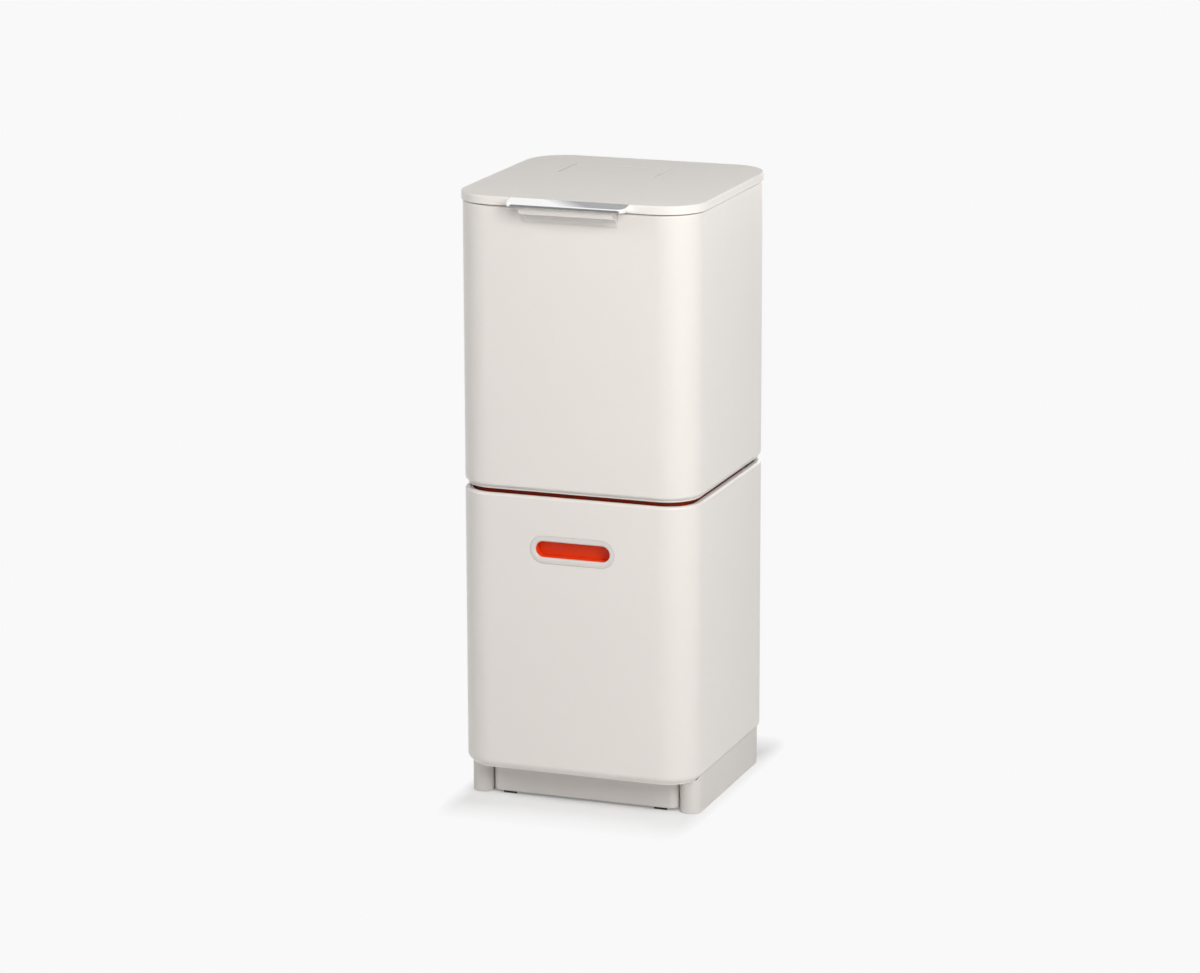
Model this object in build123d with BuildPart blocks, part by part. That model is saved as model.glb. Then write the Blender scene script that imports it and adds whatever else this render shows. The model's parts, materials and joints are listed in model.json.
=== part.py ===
from build123d import *
import os

# Two-compartment recycling bin: a fixed upper bin with a rear-hinged lid above a pull-out drawer.
# All sizes are millimetres. Heights are counted from the floor, other places from the middle of the body.

# Body plan and the seam between the painted wraps and the rear covers
body_width = 300.0
body_depth = 300.0
body_corner_radius = 44.0
seam_inset = 22.0
seam_reveal = 0.8

# Stack of heights from the floor to the top of the lid
base_height = 42.6
drawer_base_clearance = 0.4
drawer_trim_height = 2.3
drawer_shell_height = 342.1
compartment_gap = 5.2
upper_trim_height = 2.7
upper_shell_height = 340.7
lid_gap = 1.2
lid_edge_height = 10.5

# Clearances
fit_gap = 0.3
pin_clearance = 0.05
pin_seat_gap = 0.02
slide_gap = 0.3

# Painted steel wraps, trim rings and moulded rear covers
sheet = 1.0
cover_wall = 2.5
drawer_bottom_roll = 8.0
drawer_top_roll = 3.5
upper_bottom_roll = 5.0
upper_top_roll = 2.0
shell_lip = 14.0
drawer_top_lip = 6.0
upper_top_lip = 4.0
trim_step = 1.0
trim_width = 18.0
cover_boss_radius = 5.0
cover_screw_inset = 9.0
cover_head_recess = 2.3
cover_screw_rise = 44.7
lower_cover_screw_drop = 47.4
upper_cover_screw_drop = 50.0

# Base moulding and its rubber pads
column_side_inset = 16.0
column_front_inset = 48.2
column_radius = 13.3
base_wall = 4.0
base_rear_inset = 7.0
base_corner_radius = 38.0
base_floor_gap = 0.6
base_plate = 3.0
rear_boss_inset = 12.0
rear_boss_radius = 11.5
pad_radius = 9.0
pad_recess = 2.0
pad_edge_radius = 0.4
pad_ledge = 1.0

# Rear spine channel
spine_side_gap = 30.0
spine_depth = 24.5
spine_steel = 2.0
spine_flange = 16.0
spine_top_drop = 16.0
drawer_rear_space = 35.0
drawer_rear_gap = 1.5

# Buckets
bucket_side_gap = 15.0
bucket_front_gap = 15.0
bucket_rear_gap = 5.0
bucket_corner_radius = 30.0
bucket_wall = 2.2
bucket_floor = 2.5
bucket_bottom_radius = 12.0
drawer_bucket_flange = 2.0
drawer_bucket_rim = 6.0
drawer_bucket_headroom = 1.6
general_flange = 6.0
general_flange_height = 2.2

# Divider in the drawer bucket
front_section_depth = 120.0
divider_wall = 2.5
divider_gap = 0.4
divider_height = 330.0
divider_corner_radius = 14.0
guide_rib = 1.5
guide_depth = 3.0
divider_grip_width = 90.0
divider_grip_height = 22.0
divider_grip_drop = 22.0

# Drawer tray, plinth, drawer back and the telescopic slides
tray_deck = 2.0
tray_wall = 2.0
tray_floor_gap = 6.0
tray_rib_height = 20.0
tray_rib_front_inset = 71.0
tray_rib_rear_inset = 75.0
plinth_inset = 39.0
plinth_column_gap = 2.7
plinth_floor_gap = 3.0
plinth_corner_radius = 12.0
plinth_edge_radius = 3.5
plinth_return = 9.0
drawer_back_wall = 2.0
top_trim_inset = 4.0
top_trim_width = 5.0
top_trim_height = 8.0
top_trim_wall = 2.0
buffer_radius = 6.0
buffer_inset = 30.0
buffer_drop = 87.4
column_clearance = 0.5
slide_width = 11.2
slide_height = 30.0
slide_bottom = 8.0
slide_steel = 1.2
slide_front_gap = 1.0
slide_rear_gap = 1.0
tab_front_inset = 46.0
tab_rear_inset = 19.0
tab_reach = 14.0
tab_width = 12.0
standoff_width = 12.0
standoff_height = 20.0
standoff_rise = 10.0
runner_screw_front_inset = 31.0
runner_screw_rear_inset = 24.0

# Front wheels behind the plinth
wheel_radius = 11.0
wheel_width = 15.5
wheel_side_gap = 0.8
wheel_front_gap = 1.0
wheel_floor_gap = 0.2
hub_radius = 7.5
hub_groove_inner = 4.2
hub_groove_outer = 6.2
hub_groove_depth = 2.5
axle_radius = 2.5
axle_rib = 2.5
tyre_edge_radius = 1.2

# Finger pull in the drawer front
pull_drop = 64.1
pull_width = 90.0
pull_height = 23.5
bezel_border_x = 8.5
bezel_border_z = 6.25
bezel_flange = 4.0
bezel_flange_wall = 1.6
bezel_tube_wall = 2.0
bezel_tube_gap = 1.0
bezel_edge_radius = 1.5

# Lid
lid_overhang = 2.8
lid_corner_radius = 51.0
lid_wall = 2.5
lid_top_edge_radius = 1.8
lid_bottom_edge_radius = 0.6
liner_plate = 2.5
liner_lift = 0.3
dish_depth = 6.5
dish_inset = 8.0
dish_edge_radius = 3.0
seal_inner_grow = 7.4
seal_width = 3.0
lid_boss_radius = 4.0
lid_screw_inset = 38.0
lid_screw_middle_y = -10.0
lid_screw_rear_inset = 66.0

# Lid hinge at the top of the back
hinge_back_inset = 4.0
hinge_drop = 8.0
hinge_inset = 30.0
hinge_arm_width = 10.0
hinge_knuckle_radius = 4.0
hinge_pin_radius = 2.0
hinge_pin_grip = 6.0
hinge_slot_gap = 0.5
hinge_slot_front = 3.0
hinge_slot_floor = 1.5

# Vent cover, carbon filter and the slotted door under it
vent_x = -22.0
vent_rear_inset = 87.5
vent_width = 121.0
vent_depth = 63.0
vent_slot = 2.0
vent_flange = 4.0
vent_flange_wall = 1.5
vent_edge_radius = 0.4
filter_width = 107.0
filter_depth = 46.0
filter_height = 6.0
holder_wall = 1.6
holder_base = 1.2
holder_lip = 4.0
holder_ear = 8.0
holder_ear_depth = 34.0
door_side_margin = 2.5
door_end_margin = 5.0
door_wall = 2.0
door_barrel_radius = 2.0
door_trunnion_radius = 1.4
door_trunnion_length = 3.0
door_boss_width = 4.5
door_boss_half = 4.0
door_boss_height = 6.0
door_slot_count = 11
door_slot_pitch = 9.0
door_slot_width = 3.2
door_slot_length = 40.0

# Steel-capped lid handle
handle_reach = 20.0
handle_half_width = 75.0
handle_corner_radius = 10.0
handle_slope_drop = 3.7
handle_lip_height = 3.8
handle_steel = 1.0
handle_edge_radius = 0.8
grip_half_width = 58.5
grip_depth = 15.2
grip_face_height = 8.1
grip_cove_height = 12.0
grip_root = 1.5
grip_shell_gap = 0.6
handle_screw_x = 45.0
handle_screw_height = 5.0
handle_screw_length = 10.0

# Top frame around the upper mouth, and the liner ring in it
frame_inset = 2.2
frame_ledge = 5.0
frame_mouth_gap = 0.5
frame_screw_pitch = 55.0
ring_wall = 2.0
ring_skirt = 25.0
ring_flange_wall = 2.0
ring_overlap = 5.0

# Upper deck
deck_plate = 3.0
deck_bar_height = 10.0
deck_bar_inset = 8.0
deck_screw_inset = 24.0

# Screws
screw_head_radius = 3.5
screw_head_height = 2.0
screw_shank_radius = 1.75
screw_length = 10.0
cover_screw_length = 12.0
deck_screw_length = 7.5
small_head_radius = 2.1
small_head_height = 1.5
small_shank_radius = 1.2
lid_screw_length = 9.0
runner_screw_length = 5.0
recess_share = 0.45
recess_depth = 0.8
spine_screw_inset = 40.0
spine_screw_inner_x = 30.0

# Heights and places worked out from the sizes above
body_center_y = handle_reach / 2
drawer_bottom = base_height + drawer_base_clearance
drawer_shell_bottom = drawer_bottom + drawer_trim_height
drawer_top = drawer_shell_bottom + drawer_shell_height
upper_bottom = drawer_top + compartment_gap
upper_shell_bottom = upper_bottom + upper_trim_height
upper_top = upper_shell_bottom + upper_shell_height
lid_bottom = upper_top + lid_gap
lid_top = lid_bottom + lid_edge_height
front_y = -body_depth / 2
back_y = body_depth / 2
lid_front_y = front_y - lid_overhang
seam_y = back_y - seam_inset
column_x = body_width / 2 - column_side_inset
column_y = front_y + column_front_inset
column_core_radius = pad_radius - pad_ledge
base_half_width = column_x + column_radius
spine_half_width = body_width / 2 - spine_side_gap
drawer_rear_y = back_y - drawer_rear_space
spine_front_y = drawer_rear_y + drawer_rear_gap
spine_back_y = spine_front_y + spine_depth
spine_middle_y = spine_front_y + spine_depth / 2
spine_web_back = spine_front_y + spine_steel
spine_top = upper_top - spine_top_drop
bucket_width = body_width - 2 * bucket_side_gap
bucket_front_y = front_y + bucket_front_gap
bucket_back_y = drawer_rear_y - bucket_rear_gap
bucket_depth = bucket_back_y - bucket_front_y
bucket_center_y = (bucket_back_y + bucket_front_y) / 2
divider_y = bucket_front_y + front_section_depth
plinth_front_y = front_y + plinth_inset
plinth_half_width = column_x - column_radius - plinth_column_gap
tray_half_width = column_x - column_radius - column_clearance - slide_width
tray_top = drawer_shell_bottom + tray_deck
channel_outer_x = tray_half_width + slide_width
wheel_x = tray_half_width - tray_wall - wheel_side_gap - wheel_width / 2
wheel_y = plinth_front_y + tray_wall + wheel_front_gap + wheel_radius
wheel_z = wheel_radius + wheel_floor_gap
deck_top = upper_shell_bottom + deck_plate
frame_top = upper_top - sheet
general_rim = spine_top + frame_ledge + general_flange_height
hinge_x = spine_half_width - hinge_inset
hinge_y = back_y - hinge_back_inset
hinge_z = upper_top - hinge_drop
pull_z = drawer_top - pull_drop
slide_front_y = plinth_front_y + plinth_return + slide_front_gap
slide_end_y = drawer_rear_y - slide_rear_gap
vent_y = back_y - vent_rear_inset
liner_bottom = lid_bottom + liner_lift
dish_bottom = liner_bottom - dish_depth
dish_floor = dish_bottom + liner_plate
lid_skin = lid_top - lid_wall
low_corner = (Align.MIN, Align.MIN, Align.MIN)


def three_places(first, last):
    """Both ends of a row and its middle."""
    return [first, (first + last) / 2, last]


# Rows of screws and tabs
cover_screw_x = spine_half_width - cover_screw_inset
lower_cover_screws = three_places(drawer_shell_bottom + cover_screw_rise, drawer_top - lower_cover_screw_drop)
upper_cover_screws = three_places(upper_shell_bottom + cover_screw_rise, spine_top - upper_cover_screw_drop)
rear_boss_x = spine_half_width - rear_boss_inset
spine_screw_x = spine_half_width - spine_screw_inset
spine_screw_places = [-spine_screw_x, -spine_screw_inner_x, spine_screw_inner_x, spine_screw_x]
deck_bar_half_width = spine_half_width - deck_bar_inset
deck_screw_x = deck_bar_half_width - deck_screw_inset
deck_screw_places = three_places(-deck_screw_x, deck_screw_x)
frame_screw_places = three_places(-frame_screw_pitch, frame_screw_pitch)
tab_places = three_places(slide_front_y + tab_front_inset, slide_end_y - tab_rear_inset)
runner_screw_places = three_places(slide_front_y + runner_screw_front_inset,
                                   slide_end_y - runner_screw_rear_inset)
tray_rib_places = [plinth_front_y + tray_rib_front_inset, drawer_rear_y - tray_rib_rear_inset]
buffer_x = spine_half_width - buffer_inset
buffer_z = drawer_top - buffer_drop
lid_screw_x = body_width / 2 - lid_screw_inset
lid_screw_places = [front_y + lid_screw_inset, lid_screw_middle_y, back_y - lid_screw_rear_inset]


def level(z):
    """Horizontal plane at height z, centred on the body."""
    return Plane((0, body_center_y, z))


def bucket_level(z):
    """Horizontal plane at height z, centred on the buckets."""
    return Plane((0, body_center_y + bucket_center_y, z))


def downward(z):
    """Horizontal plane at height z, facing the floor; its local y points to the front."""
    return Plane((0, body_center_y, z), x_dir=(1, 0, 0), z_dir=(0, 0, -1))


def forward(y):
    """Upright plane across the body at y, facing the front; its local y is the height."""
    return Plane((0, body_center_y + y, 0), x_dir=(1, 0, 0), z_dir=(0, -1, 0))


def rearward(y):
    """Upright plane across the body at y, facing the back; its local y is the height."""
    return Plane((0, body_center_y + y, 0), x_dir=(-1, 0, 0), z_dir=(0, 1, 0))


def sideways(x):
    """Upright plane along the body at x; its local x is the depth and its local y the height."""
    return Plane((x, body_center_y, 0), x_dir=(0, 1, 0), z_dir=(1, 0, 0))


def outline(inset, mode=Mode.ADD):
    """Plan outline of the body, moved inwards."""
    width = body_width - 2 * inset
    depth = body_depth - 2 * inset
    return RectangleRounded(width, depth, body_corner_radius - inset, mode=mode)


def base_outline(inset, mode=Mode.ADD):
    """Plan outline of the base, moved inwards."""
    width = 2 * (base_half_width - inset)
    depth = body_depth - 2 * (base_rear_inset + inset)
    return RectangleRounded(width, depth, base_corner_radius - inset, mode=mode)


def bucket_outline(grow, mode=Mode.ADD):
    """Plan outline of a bucket wall, moved outwards."""
    width = bucket_width + 2 * grow
    depth = bucket_depth + 2 * grow
    return RectangleRounded(width, depth, bucket_corner_radius + grow, mode=mode)


def lid_outline(inset, mode=Mode.ADD):
    """Plan outline of the lid, moved inwards."""
    width = body_width + 2 * (lid_overhang - inset)
    depth = body_depth + 2 * (lid_overhang - inset)
    return RectangleRounded(width, depth, lid_corner_radius - inset, mode=mode)


def block(x_low, x_high, y_low, y_high, z_low, z_high, mode=Mode.ADD):
    """Block between two corners."""
    with Locations((x_low, body_center_y + y_low, z_low)):
        Box(x_high - x_low, y_high - y_low, z_high - z_low, align=low_corner, mode=mode)


def block_pair(x_low, x_high, y_low, y_high, z_low, z_high, mode=Mode.ADD):
    """The same block on the right and on the left."""
    block(x_low, x_high, y_low, y_high, z_low, z_high, mode)
    block(-x_high, -x_low, y_low, y_high, z_low, z_high, mode)


def clear_spine(gap):
    """Cut the space of the rear spine, widened by a gap."""
    half = spine_half_width + gap
    block(-half, half, spine_front_y - gap, spine_back_y + gap, 0, lid_top, Mode.SUBTRACT)


def end_edges(part, which):
    """Edges around the lowest (0) or the highest (-1) flat end of a part."""
    return part.edges().filter_by(Plane.XY).group_by(Axis.Z)[which]


def rounded_block(inset, bottom, top, bottom_radius, top_radius):
    """Solid on the body outline with rounded bottom and top edges."""
    with BuildPart() as solid:
        with BuildSketch(level(bottom)):
            outline(inset)
        extrude(amount=top - bottom)
        if bottom_radius > 0:
            fillet(end_edges(solid, 0), bottom_radius)
        if top_radius > 0:
            fillet(end_edges(solid, -1), top_radius)
    return solid.part


def rolled_wrap(bottom, top, bottom_roll, top_roll, wall, top_lip):
    """Hollow wall on the body outline, with both edges rolled inwards to a flat lip."""
    with BuildPart() as wrap:
        add(rounded_block(0, bottom, top, bottom_roll, top_roll))
        add(rounded_block(wall, bottom + wall, top - wall, bottom_roll - wall, top_roll - wall),
            mode=Mode.SUBTRACT)
        with BuildSketch(level(bottom)):
            outline(shell_lip)
        extrude(amount=2 * wall, mode=Mode.SUBTRACT)
        with BuildSketch(level(top)):
            outline(top_lip)
        extrude(amount=-2 * wall, mode=Mode.SUBTRACT)
    return wrap.part


def bucket_block(grow, bottom, top, radius):
    """Solid on the bucket outline with a rounded bottom edge."""
    with BuildPart() as solid:
        with BuildSketch(bucket_level(bottom)):
            bucket_outline(grow)
        extrude(amount=top - bottom)
        fillet(end_edges(solid, 0), radius)
    return solid.part


def trim_ring(bottom, height, roll, width, cut_plane):
    """Flat ring under a rolled edge, stepped in from it, on one side of the seam."""
    with BuildPart() as ring:
        with BuildSketch(level(bottom)):
            outline(roll - trim_step)
            outline(roll - trim_step + width, Mode.SUBTRACT)
        extrude(amount=height)
        split(bisect_by=cut_plane, keep=Keep.TOP)
    return ring.part


def screws(plane, spots, length, head=screw_head_radius, height=screw_head_height,
           shank=screw_shank_radius):
    """Screws seated on a plane: heads stand on it and shanks run behind it."""
    with BuildPart() as group:
        with BuildSketch(plane):
            with Locations(*spots):
                Circle(head)
        extrude(amount=height)
        with BuildSketch(plane.offset(height)):
            with Locations(*spots):
                RegularPolygon(head * recess_share, 6)
        extrude(amount=-recess_depth, mode=Mode.SUBTRACT)
        with BuildSketch(plane):
            with Locations(*spots):
                Circle(shank)
        extrude(amount=-length)
    return group.part


def screw_holes(plane, spots, length, shank=screw_shank_radius):
    """Holes for the shanks of screws seated on a plane."""
    with BuildPart() as group:
        with BuildSketch(plane):
            with Locations(*spots):
                Circle(shank)
        extrude(amount=-length)
    return group.part


def finish(piece, name):
    """Label a finished piece and write its file."""
    piece.part.label = name
    export_step(piece.part, f"parts/{name}.step")


os.makedirs("parts", exist_ok=True)
seam_front = Plane((0, body_center_y + seam_y, 0), z_dir=(0, -1, 0))
seam_back = Plane((0, body_center_y + seam_y + seam_reveal, 0), z_dir=(0, 1, 0))

# Base moulding: side walls, front columns and a closed rear box that carries the spine
inner_half_width = base_half_width - base_wall
standoff_top = slide_bottom + slide_height - standoff_rise
rear_boss_y = spine_front_y + base_plate / 2 + rear_boss_radius
column_spots = [(-column_x, column_y), (column_x, column_y)]
boss_spots = [(-rear_boss_x, rear_boss_y), (rear_boss_x, rear_boss_y)]
spine_spots = [(x, spine_middle_y) for x in spine_screw_places]
tab_x = channel_outer_x + tab_reach / 2
tab_spots = [(x, y) for x in (-tab_x, tab_x) for y in tab_places]
tab_top = standoff_top + slide_steel
spine_foot_top = base_height + spine_steel

with BuildPart() as base_frame:
    with BuildSketch(level(base_floor_gap)):
        base_outline(0)
    extrude(amount=base_height - base_floor_gap)
    with BuildSketch(level(base_floor_gap)):
        base_outline(base_wall)
    extrude(amount=base_height - base_floor_gap - base_plate, mode=Mode.SUBTRACT)
    block(-inner_half_width, inner_half_width, -body_depth, spine_front_y, 0, body_depth, Mode.SUBTRACT)
    block(-body_width, body_width, -body_depth, column_y, 0, body_depth, Mode.SUBTRACT)
    block(-inner_half_width, inner_half_width, spine_front_y, spine_front_y + base_plate,
          base_floor_gap, base_height)
    with BuildSketch(level(base_floor_gap)):
        with Locations(*column_spots):
            Circle(column_radius)
        with Locations(*boss_spots):
            Circle(rear_boss_radius)
    extrude(amount=base_height - base_floor_gap)
    with BuildSketch(level(base_floor_gap)):
        with Locations(*column_spots, *boss_spots):
            Circle(pad_radius + pin_clearance)
    extrude(amount=pad_recess, mode=Mode.SUBTRACT)
    with BuildSketch(level(base_floor_gap)):
        with Locations(*column_spots, *boss_spots):
            Circle(column_core_radius)
    extrude(amount=base_height - base_floor_gap - base_plate, mode=Mode.SUBTRACT)
    for y in tab_places:
        block_pair(channel_outer_x, inner_half_width, y - standoff_width / 2, y + standoff_width / 2,
                   standoff_top - standoff_height, standoff_top)
    add(screw_holes(level(spine_foot_top), spine_spots, screw_length), mode=Mode.SUBTRACT)
    add(screw_holes(level(tab_top), tab_spots, screw_length), mode=Mode.SUBTRACT)
finish(base_frame, "base_frame")

# Rubber pads let into the columns and the rear bosses
with BuildPart() as foot_pads:
    with BuildSketch(level(0)):
        with Locations(*column_spots, *boss_spots):
            Circle(pad_radius)
    extrude(amount=base_floor_gap + pad_recess)
    fillet(end_edges(foot_pads, 0), pad_edge_radius)
finish(foot_pads, "foot_pads")

# Steel spine: an upright channel behind both compartments, with a foot, a middle and a top shelf
cover_spots = [(x, z) for x in (-cover_screw_x, cover_screw_x)
               for z in lower_cover_screws + upper_cover_screws]
deck_spots = [(x, upper_shell_bottom + deck_bar_height / 2) for x in deck_screw_places]
frame_spots = [(x, -spine_middle_y) for x in frame_screw_places]
cover_seat_y = back_y - cover_head_recess

with BuildPart() as spine_frame:
    block(-spine_half_width, spine_half_width, spine_front_y, spine_web_back, base_height, spine_top)
    block_pair(spine_half_width - spine_steel, spine_half_width, spine_web_back, spine_back_y,
               base_height, spine_top)
    block_pair(spine_half_width - spine_flange, spine_half_width, spine_back_y - spine_steel, spine_back_y,
               base_height, spine_top)
    for shelf_top in (spine_foot_top, drawer_top, spine_top):
        block(-spine_half_width, spine_half_width, spine_web_back, spine_back_y,
              shelf_top - spine_steel, shelf_top)
    add(screw_holes(level(spine_foot_top), spine_spots, screw_length), mode=Mode.SUBTRACT)
    add(screw_holes(rearward(spine_web_back), deck_spots, deck_screw_length), mode=Mode.SUBTRACT)
    add(screw_holes(rearward(cover_seat_y), cover_spots, cover_screw_length), mode=Mode.SUBTRACT)
    add(screw_holes(downward(spine_top - spine_steel), frame_spots, screw_length), mode=Mode.SUBTRACT)
finish(spine_frame, "spine_frame")

with BuildPart() as spine_screws:
    add(screws(level(spine_foot_top), spine_spots, screw_length))
finish(spine_screws, "spine_screws")


def rear_cover(bottom, top, bottom_roll, top_roll, trim_height, screw_heights):
    """Moulded rear skin with a foot strip, screw bosses that reach the spine and sunk screw seats."""
    spots = [(x, z) for x in (-cover_screw_x, cover_screw_x) for z in screw_heights]
    with BuildPart() as cover:
        add(rolled_wrap(bottom, top, bottom_roll, top_roll, cover_wall, drawer_top_lip))
        split(bisect_by=seam_back, keep=Keep.TOP)
        add(trim_ring(bottom - trim_height, trim_height, bottom_roll, cover_wall, seam_back))
        clear_spine(fit_gap)
        with BuildSketch(rearward(spine_back_y)):
            with Locations(*spots):
                Circle(cover_boss_radius)
        extrude(amount=back_y - cover_wall / 2 - spine_back_y)
        with BuildSketch(rearward(cover_seat_y)):
            with Locations(*spots):
                Circle(screw_head_radius + fit_gap)
        extrude(amount=cover_wall + cover_head_recess, mode=Mode.SUBTRACT)
        add(screw_holes(rearward(cover_seat_y), spots, cover_screw_length), mode=Mode.SUBTRACT)
    return cover.part


# Rear covers: one moulded skin for each compartment, which closes the rounded rear corners
with BuildPart() as lower_rear_cover:
    add(rear_cover(drawer_shell_bottom, drawer_top, drawer_bottom_roll, drawer_top_roll,
                   drawer_trim_height, lower_cover_screws))
finish(lower_rear_cover, "lower_rear_cover")

with BuildPart() as upper_rear_cover:
    add(rear_cover(upper_shell_bottom, spine_top, upper_bottom_roll, 0,
                   upper_trim_height, upper_cover_screws))
finish(upper_rear_cover, "upper_rear_cover")

with BuildPart() as cover_screws:
    add(screws(rearward(cover_seat_y), cover_spots, cover_screw_length))
finish(cover_screws, "cover_screws")

# Upper compartment: the painted wrap, the trim ring below it and the deck that carries the bucket
with BuildPart() as upper_shell:
    add(rolled_wrap(upper_shell_bottom, upper_top, upper_bottom_roll, upper_top_roll, sheet,
                    upper_top_lip))
    split(bisect_by=seam_front, keep=Keep.TOP)
finish(upper_shell, "upper_shell")

with BuildPart() as upper_bottom_trim:
    add(trim_ring(upper_bottom, upper_trim_height, upper_bottom_roll, trim_width, seam_front))
    clear_spine(fit_gap)
finish(upper_bottom_trim, "upper_bottom_trim")

with BuildPart() as upper_deck:
    with BuildSketch(level(upper_shell_bottom)):
        outline(shell_lip + fit_gap)
    extrude(amount=deck_plate)
    block(-body_width, body_width, spine_front_y, body_depth, 0, lid_top, Mode.SUBTRACT)
    block(-deck_bar_half_width, deck_bar_half_width, bucket_back_y + fit_gap, spine_front_y,
          upper_shell_bottom, upper_shell_bottom + deck_bar_height)
    add(screw_holes(rearward(spine_web_back), deck_spots, deck_screw_length), mode=Mode.SUBTRACT)
finish(upper_deck, "upper_deck")

with BuildPart() as deck_screws:
    add(screws(rearward(spine_web_back), deck_spots, deck_screw_length))
finish(deck_screws, "deck_screws")

# Top frame: the moulded ring around the upper mouth, thick at the back where it holds the lid hinges
arm_half = hinge_arm_width / 2
slot_half = arm_half + hinge_slot_gap
pin_reach = hinge_x + slot_half + hinge_pin_grip


def hinge_bar():
    """Rear part of the top frame, flush with the rear covers and rounded along its top."""
    with BuildPart() as bar:
        add(rounded_block(0, spine_top, upper_top, 0, upper_top_roll))
        split(bisect_by=seam_back, keep=Keep.TOP)
    return bar.part


def hinge_bores(radius):
    """Round bars on the hinge axis through both slots, for the pins and their bores."""
    with BuildPart() as bores:
        for x_low in (hinge_x - slot_half - hinge_pin_grip, -pin_reach):
            with BuildSketch(sideways(x_low)):
                with Locations((hinge_y, hinge_z)):
                    Circle(radius)
            extrude(amount=2 * (slot_half + hinge_pin_grip))
    return bores.part


with BuildPart() as top_frame:
    with BuildSketch(level(spine_top)):
        outline(frame_inset)
    extrude(amount=frame_top - spine_top)
    add(hinge_bar())
    with BuildSketch(bucket_level(spine_top)):
        bucket_outline(frame_mouth_gap)
    extrude(amount=frame_ledge, mode=Mode.SUBTRACT)
    with BuildSketch(bucket_level(spine_top + frame_ledge)):
        bucket_outline(general_flange + frame_mouth_gap)
    extrude(amount=lid_top - spine_top, mode=Mode.SUBTRACT)
    block_pair(hinge_x - slot_half, hinge_x + slot_half, hinge_y - hinge_knuckle_radius - hinge_slot_front,
               body_depth, hinge_z - hinge_knuckle_radius - hinge_slot_floor, lid_top, Mode.SUBTRACT)
    add(hinge_bores(hinge_pin_radius + pin_seat_gap), mode=Mode.SUBTRACT)
    add(screw_holes(downward(spine_top - spine_steel), frame_spots, screw_length), mode=Mode.SUBTRACT)
finish(top_frame, "top_frame")

with BuildPart() as frame_screws:
    add(screws(downward(spine_top - spine_steel), frame_spots, screw_length))
finish(frame_screws, "frame_screws")

with BuildPart() as hinge_pins:
    add(hinge_bores(hinge_pin_radius))
finish(hinge_pins, "hinge_pins")

# General waste bucket, hung on the top frame and standing on the deck
with BuildPart() as general_bucket:
    add(bucket_block(0, deck_top, general_rim, bucket_bottom_radius))
    with BuildSketch(bucket_level(general_rim)):
        bucket_outline(general_flange)
    extrude(amount=-general_flange_height)
    add(bucket_block(-bucket_wall, deck_top + bucket_floor, lid_top, bucket_bottom_radius - bucket_wall),
        mode=Mode.SUBTRACT)
finish(general_bucket, "general_bucket")

# Liner ring: sits on the bucket's flange and holds the top of the bag inside
skirt_grow = -bucket_wall - divider_gap
with BuildPart() as liner_ring:
    with BuildSketch(bucket_level(general_rim)):
        bucket_outline(ring_overlap)
    extrude(amount=ring_flange_wall)
    with BuildSketch(bucket_level(general_rim)):
        bucket_outline(skirt_grow)
    extrude(amount=-ring_skirt)
    with BuildSketch(bucket_level(general_rim + ring_flange_wall)):
        bucket_outline(skirt_grow - ring_wall)
    extrude(amount=-ring_flange_wall - ring_skirt, mode=Mode.SUBTRACT)
    fillet(end_edges(liner_ring, -1), ring_flange_wall * recess_share)
finish(liner_ring, "liner_ring")

# Telescopic drawer slides: a fixed channel, a carriage inside it and a runner on the drawer
slide_top = slide_bottom + slide_height
slide_tip_x = tray_half_width + slide_gap
nest_step = slide_steel + slide_gap
carriage_outer_x = channel_outer_x - nest_step
runner_inner_x = tray_half_width + slide_steel
runner_tip_x = carriage_outer_x - nest_step
runner_spots = [(y, (slide_bottom + slide_top) / 2) for y in runner_screw_places]


def slide_member(web_low, web_high, flange_low, flange_high, step):
    """Right slide member: an upright web and two flanges, nested inwards by a step."""
    low = slide_bottom + step
    high = slide_top - step
    with BuildPart() as member:
        block(web_low, web_high, slide_front_y, slide_end_y, low, high)
        block(flange_low, flange_high, slide_front_y, slide_end_y, low, low + slide_steel)
        block(flange_low, flange_high, slide_front_y, slide_end_y, high - slide_steel, high)
    return member.part


def slide_channel():
    """Right fixed channel with the tabs that stand on the base."""
    with BuildPart() as channel:
        add(slide_member(channel_outer_x - slide_steel, channel_outer_x, slide_tip_x, channel_outer_x, 0))
        for y in tab_places:
            block(channel_outer_x, channel_outer_x + tab_reach, y - tab_width / 2, y + tab_width / 2,
                  standoff_top, tab_top)
        add(screw_holes(level(tab_top), tab_spots, screw_length), mode=Mode.SUBTRACT)
    return channel.part


def slide_runner():
    """Right runner, drilled for the screws into the tray."""
    with BuildPart() as runner:
        add(slide_member(tray_half_width, runner_inner_x, tray_half_width, runner_tip_x, 2 * nest_step))
        add(screw_holes(sideways(runner_inner_x), runner_spots, runner_screw_length), mode=Mode.SUBTRACT)
    return runner.part


with BuildPart() as right_slide_channel:
    add(slide_channel())
finish(right_slide_channel, "right_slide_channel")

with BuildPart() as left_slide_channel:
    mirror(slide_channel(), about=Plane.YZ)
finish(left_slide_channel, "left_slide_channel")

with BuildPart() as slide_screws:
    add(screws(level(tab_top), tab_spots, screw_length))
finish(slide_screws, "slide_screws")

with BuildPart() as right_slide_carriage:
    add(slide_member(carriage_outer_x - slide_steel, carriage_outer_x, slide_tip_x, carriage_outer_x,
                     nest_step))
finish(right_slide_carriage, "right_slide_carriage")

with BuildPart() as left_slide_carriage:
    mirror(right_slide_carriage.part, about=Plane.YZ)
finish(left_slide_carriage, "left_slide_carriage")

with BuildPart() as right_slide_runner:
    add(slide_runner())
finish(right_slide_runner, "right_slide_runner")

with BuildPart() as left_slide_runner:
    mirror(slide_runner(), about=Plane.YZ)
finish(left_slide_runner, "left_slide_runner")

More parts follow.
